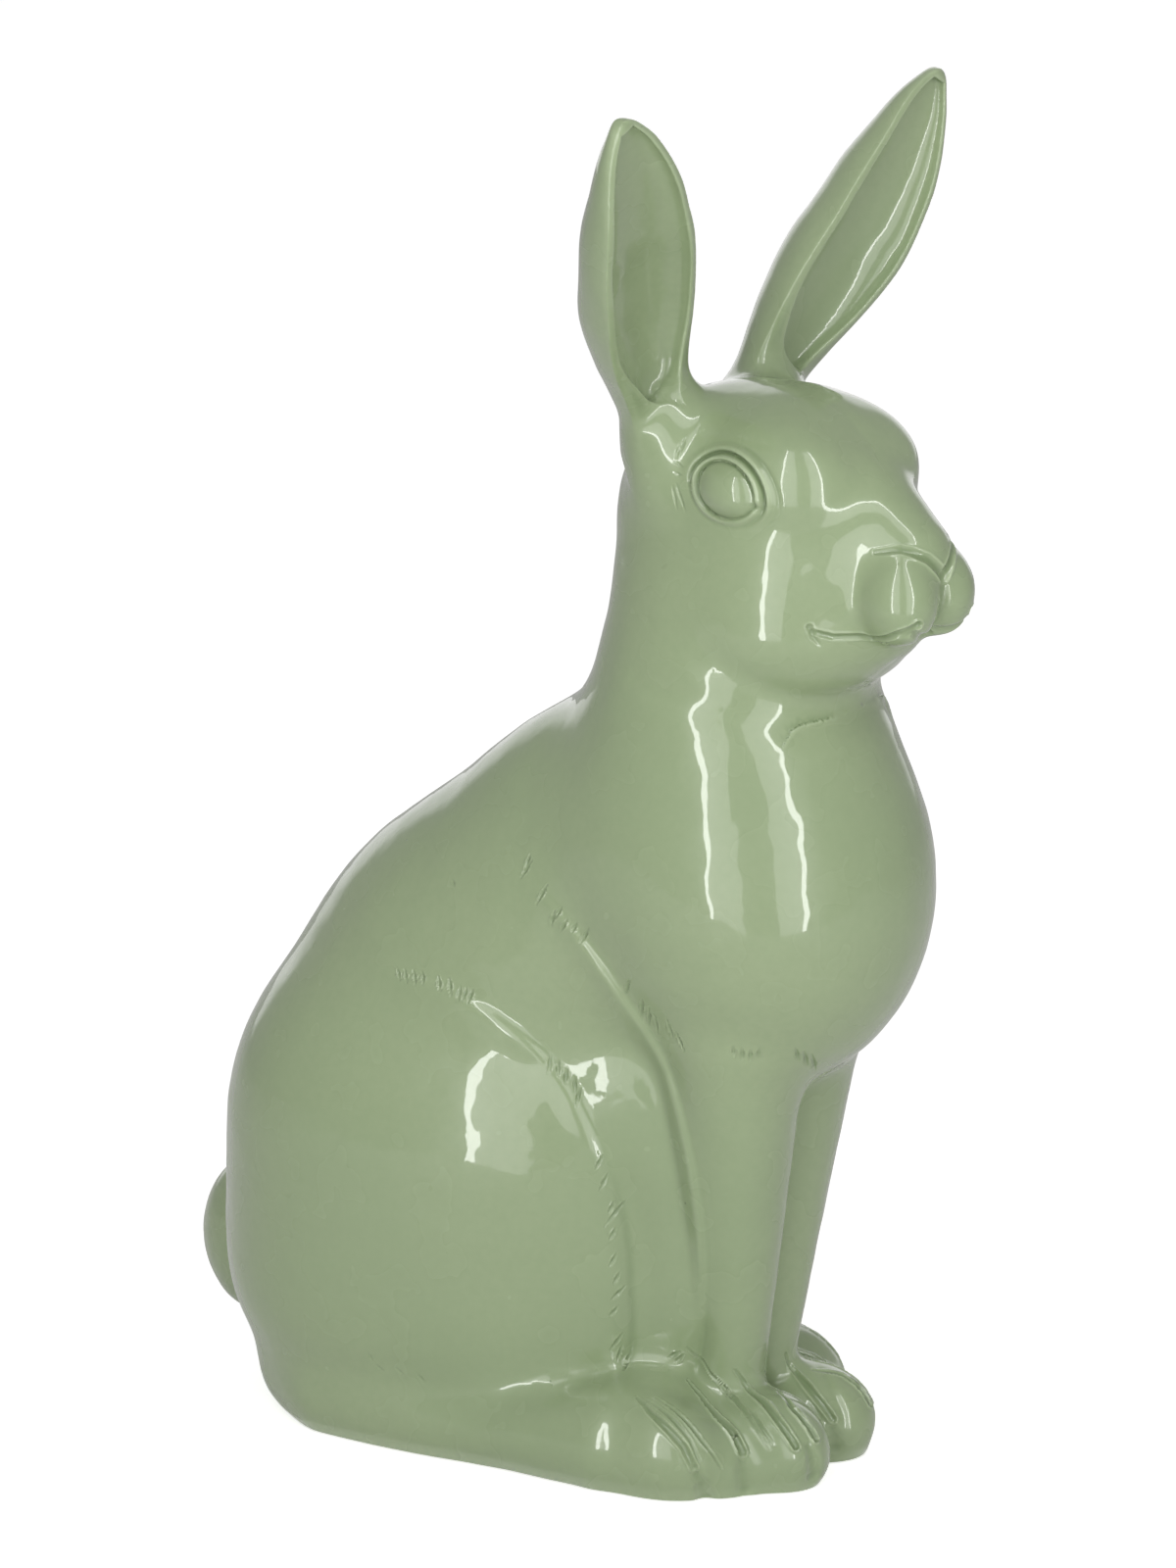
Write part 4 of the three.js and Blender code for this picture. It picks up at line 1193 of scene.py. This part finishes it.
def make_world():
    """White behind the object, a dimmer room on the camera's side. The camera itself sees plain white."""
    world = bpy.data.worlds.new("studio")
    bpy.context.scene.world = world
    world.use_nodes = True
    tree = world.node_tree
    background = tree.nodes["Background"]
    place = tree.nodes.new("ShaderNodeTexCoord")
    facing = tree.nodes.new("ShaderNodeVectorMath")
    facing.operation = "DOT_PRODUCT"
    facing.inputs[1].default_value = TOWARDS_CAMERA
    tree.links.new(place.outputs["Generated"], facing.inputs[0])
    shade = tree.nodes.new("ShaderNodeMapRange")
    shade.inputs["From Min"].default_value = BACKDROP_EDGE[0]
    shade.inputs["From Max"].default_value = BACKDROP_EDGE[1]
    shade.inputs["To Min"].default_value = BACKDROP_LIGHT
    shade.inputs["To Max"].default_value = ROOM_LIGHT
    tree.links.new(facing.outputs["Value"], shade.inputs["Value"])
    path = tree.nodes.new("ShaderNodeLightPath")
    pick = tree.nodes.new("ShaderNodeMix")
    tree.links.new(path.outputs["Is Camera Ray"], pick.inputs[0])
    tree.links.new(shade.outputs["Result"], pick.inputs[2])
    pick.inputs[3].default_value = 1.0
    tree.links.new(pick.outputs[0], background.inputs["Strength"])
    background.inputs["Color"].default_value = (1, 1, 1, 1)


PANEL_DISTANCE = 1.5
PANEL_BOTTOM = -1.2
PANEL_TOP = 3.4
# Name, angle to the side of the camera in degrees, width and light
PANELS = [("soft_panel", 17.5, 0.46, 1.7), ("bright_tube", 28, 0.09, 11)]


def panel(name, angle, width, light):
    """An upright light panel, at an angle to the left of the camera as the object sees it."""
    data = bpy.data.lights.new(name, "AREA")
    data.shape = "RECTANGLE"
    data.size = width
    data.size_y = PANEL_TOP - PANEL_BOTTOM
    data.energy = light * math.pi * data.size * data.size_y
    lamp = bpy.data.objects.new(name, data)
    bpy.context.scene.collection.objects.link(lamp)
    away = CAMERA_AZIMUTH + math.radians(angle)
    middle = (PANEL_TOP + PANEL_BOTTOM) / 2
    lamp.location = (PANEL_DISTANCE * math.sin(away), -PANEL_DISTANCE * math.cos(away), middle)
    aim = Vector((0, 0, lamp.location.z)) - lamp.location
    lamp.rotation_euler = aim.to_track_quat("-Z", "Y").to_euler()
    lamp.visible_camera = False


make_world()
for side in (-1, 1):
    for name, angle, width, light in PANELS:
        panel(name, side * angle, width, light)

bpy.context.scene.view_settings.view_transform = "Standard"
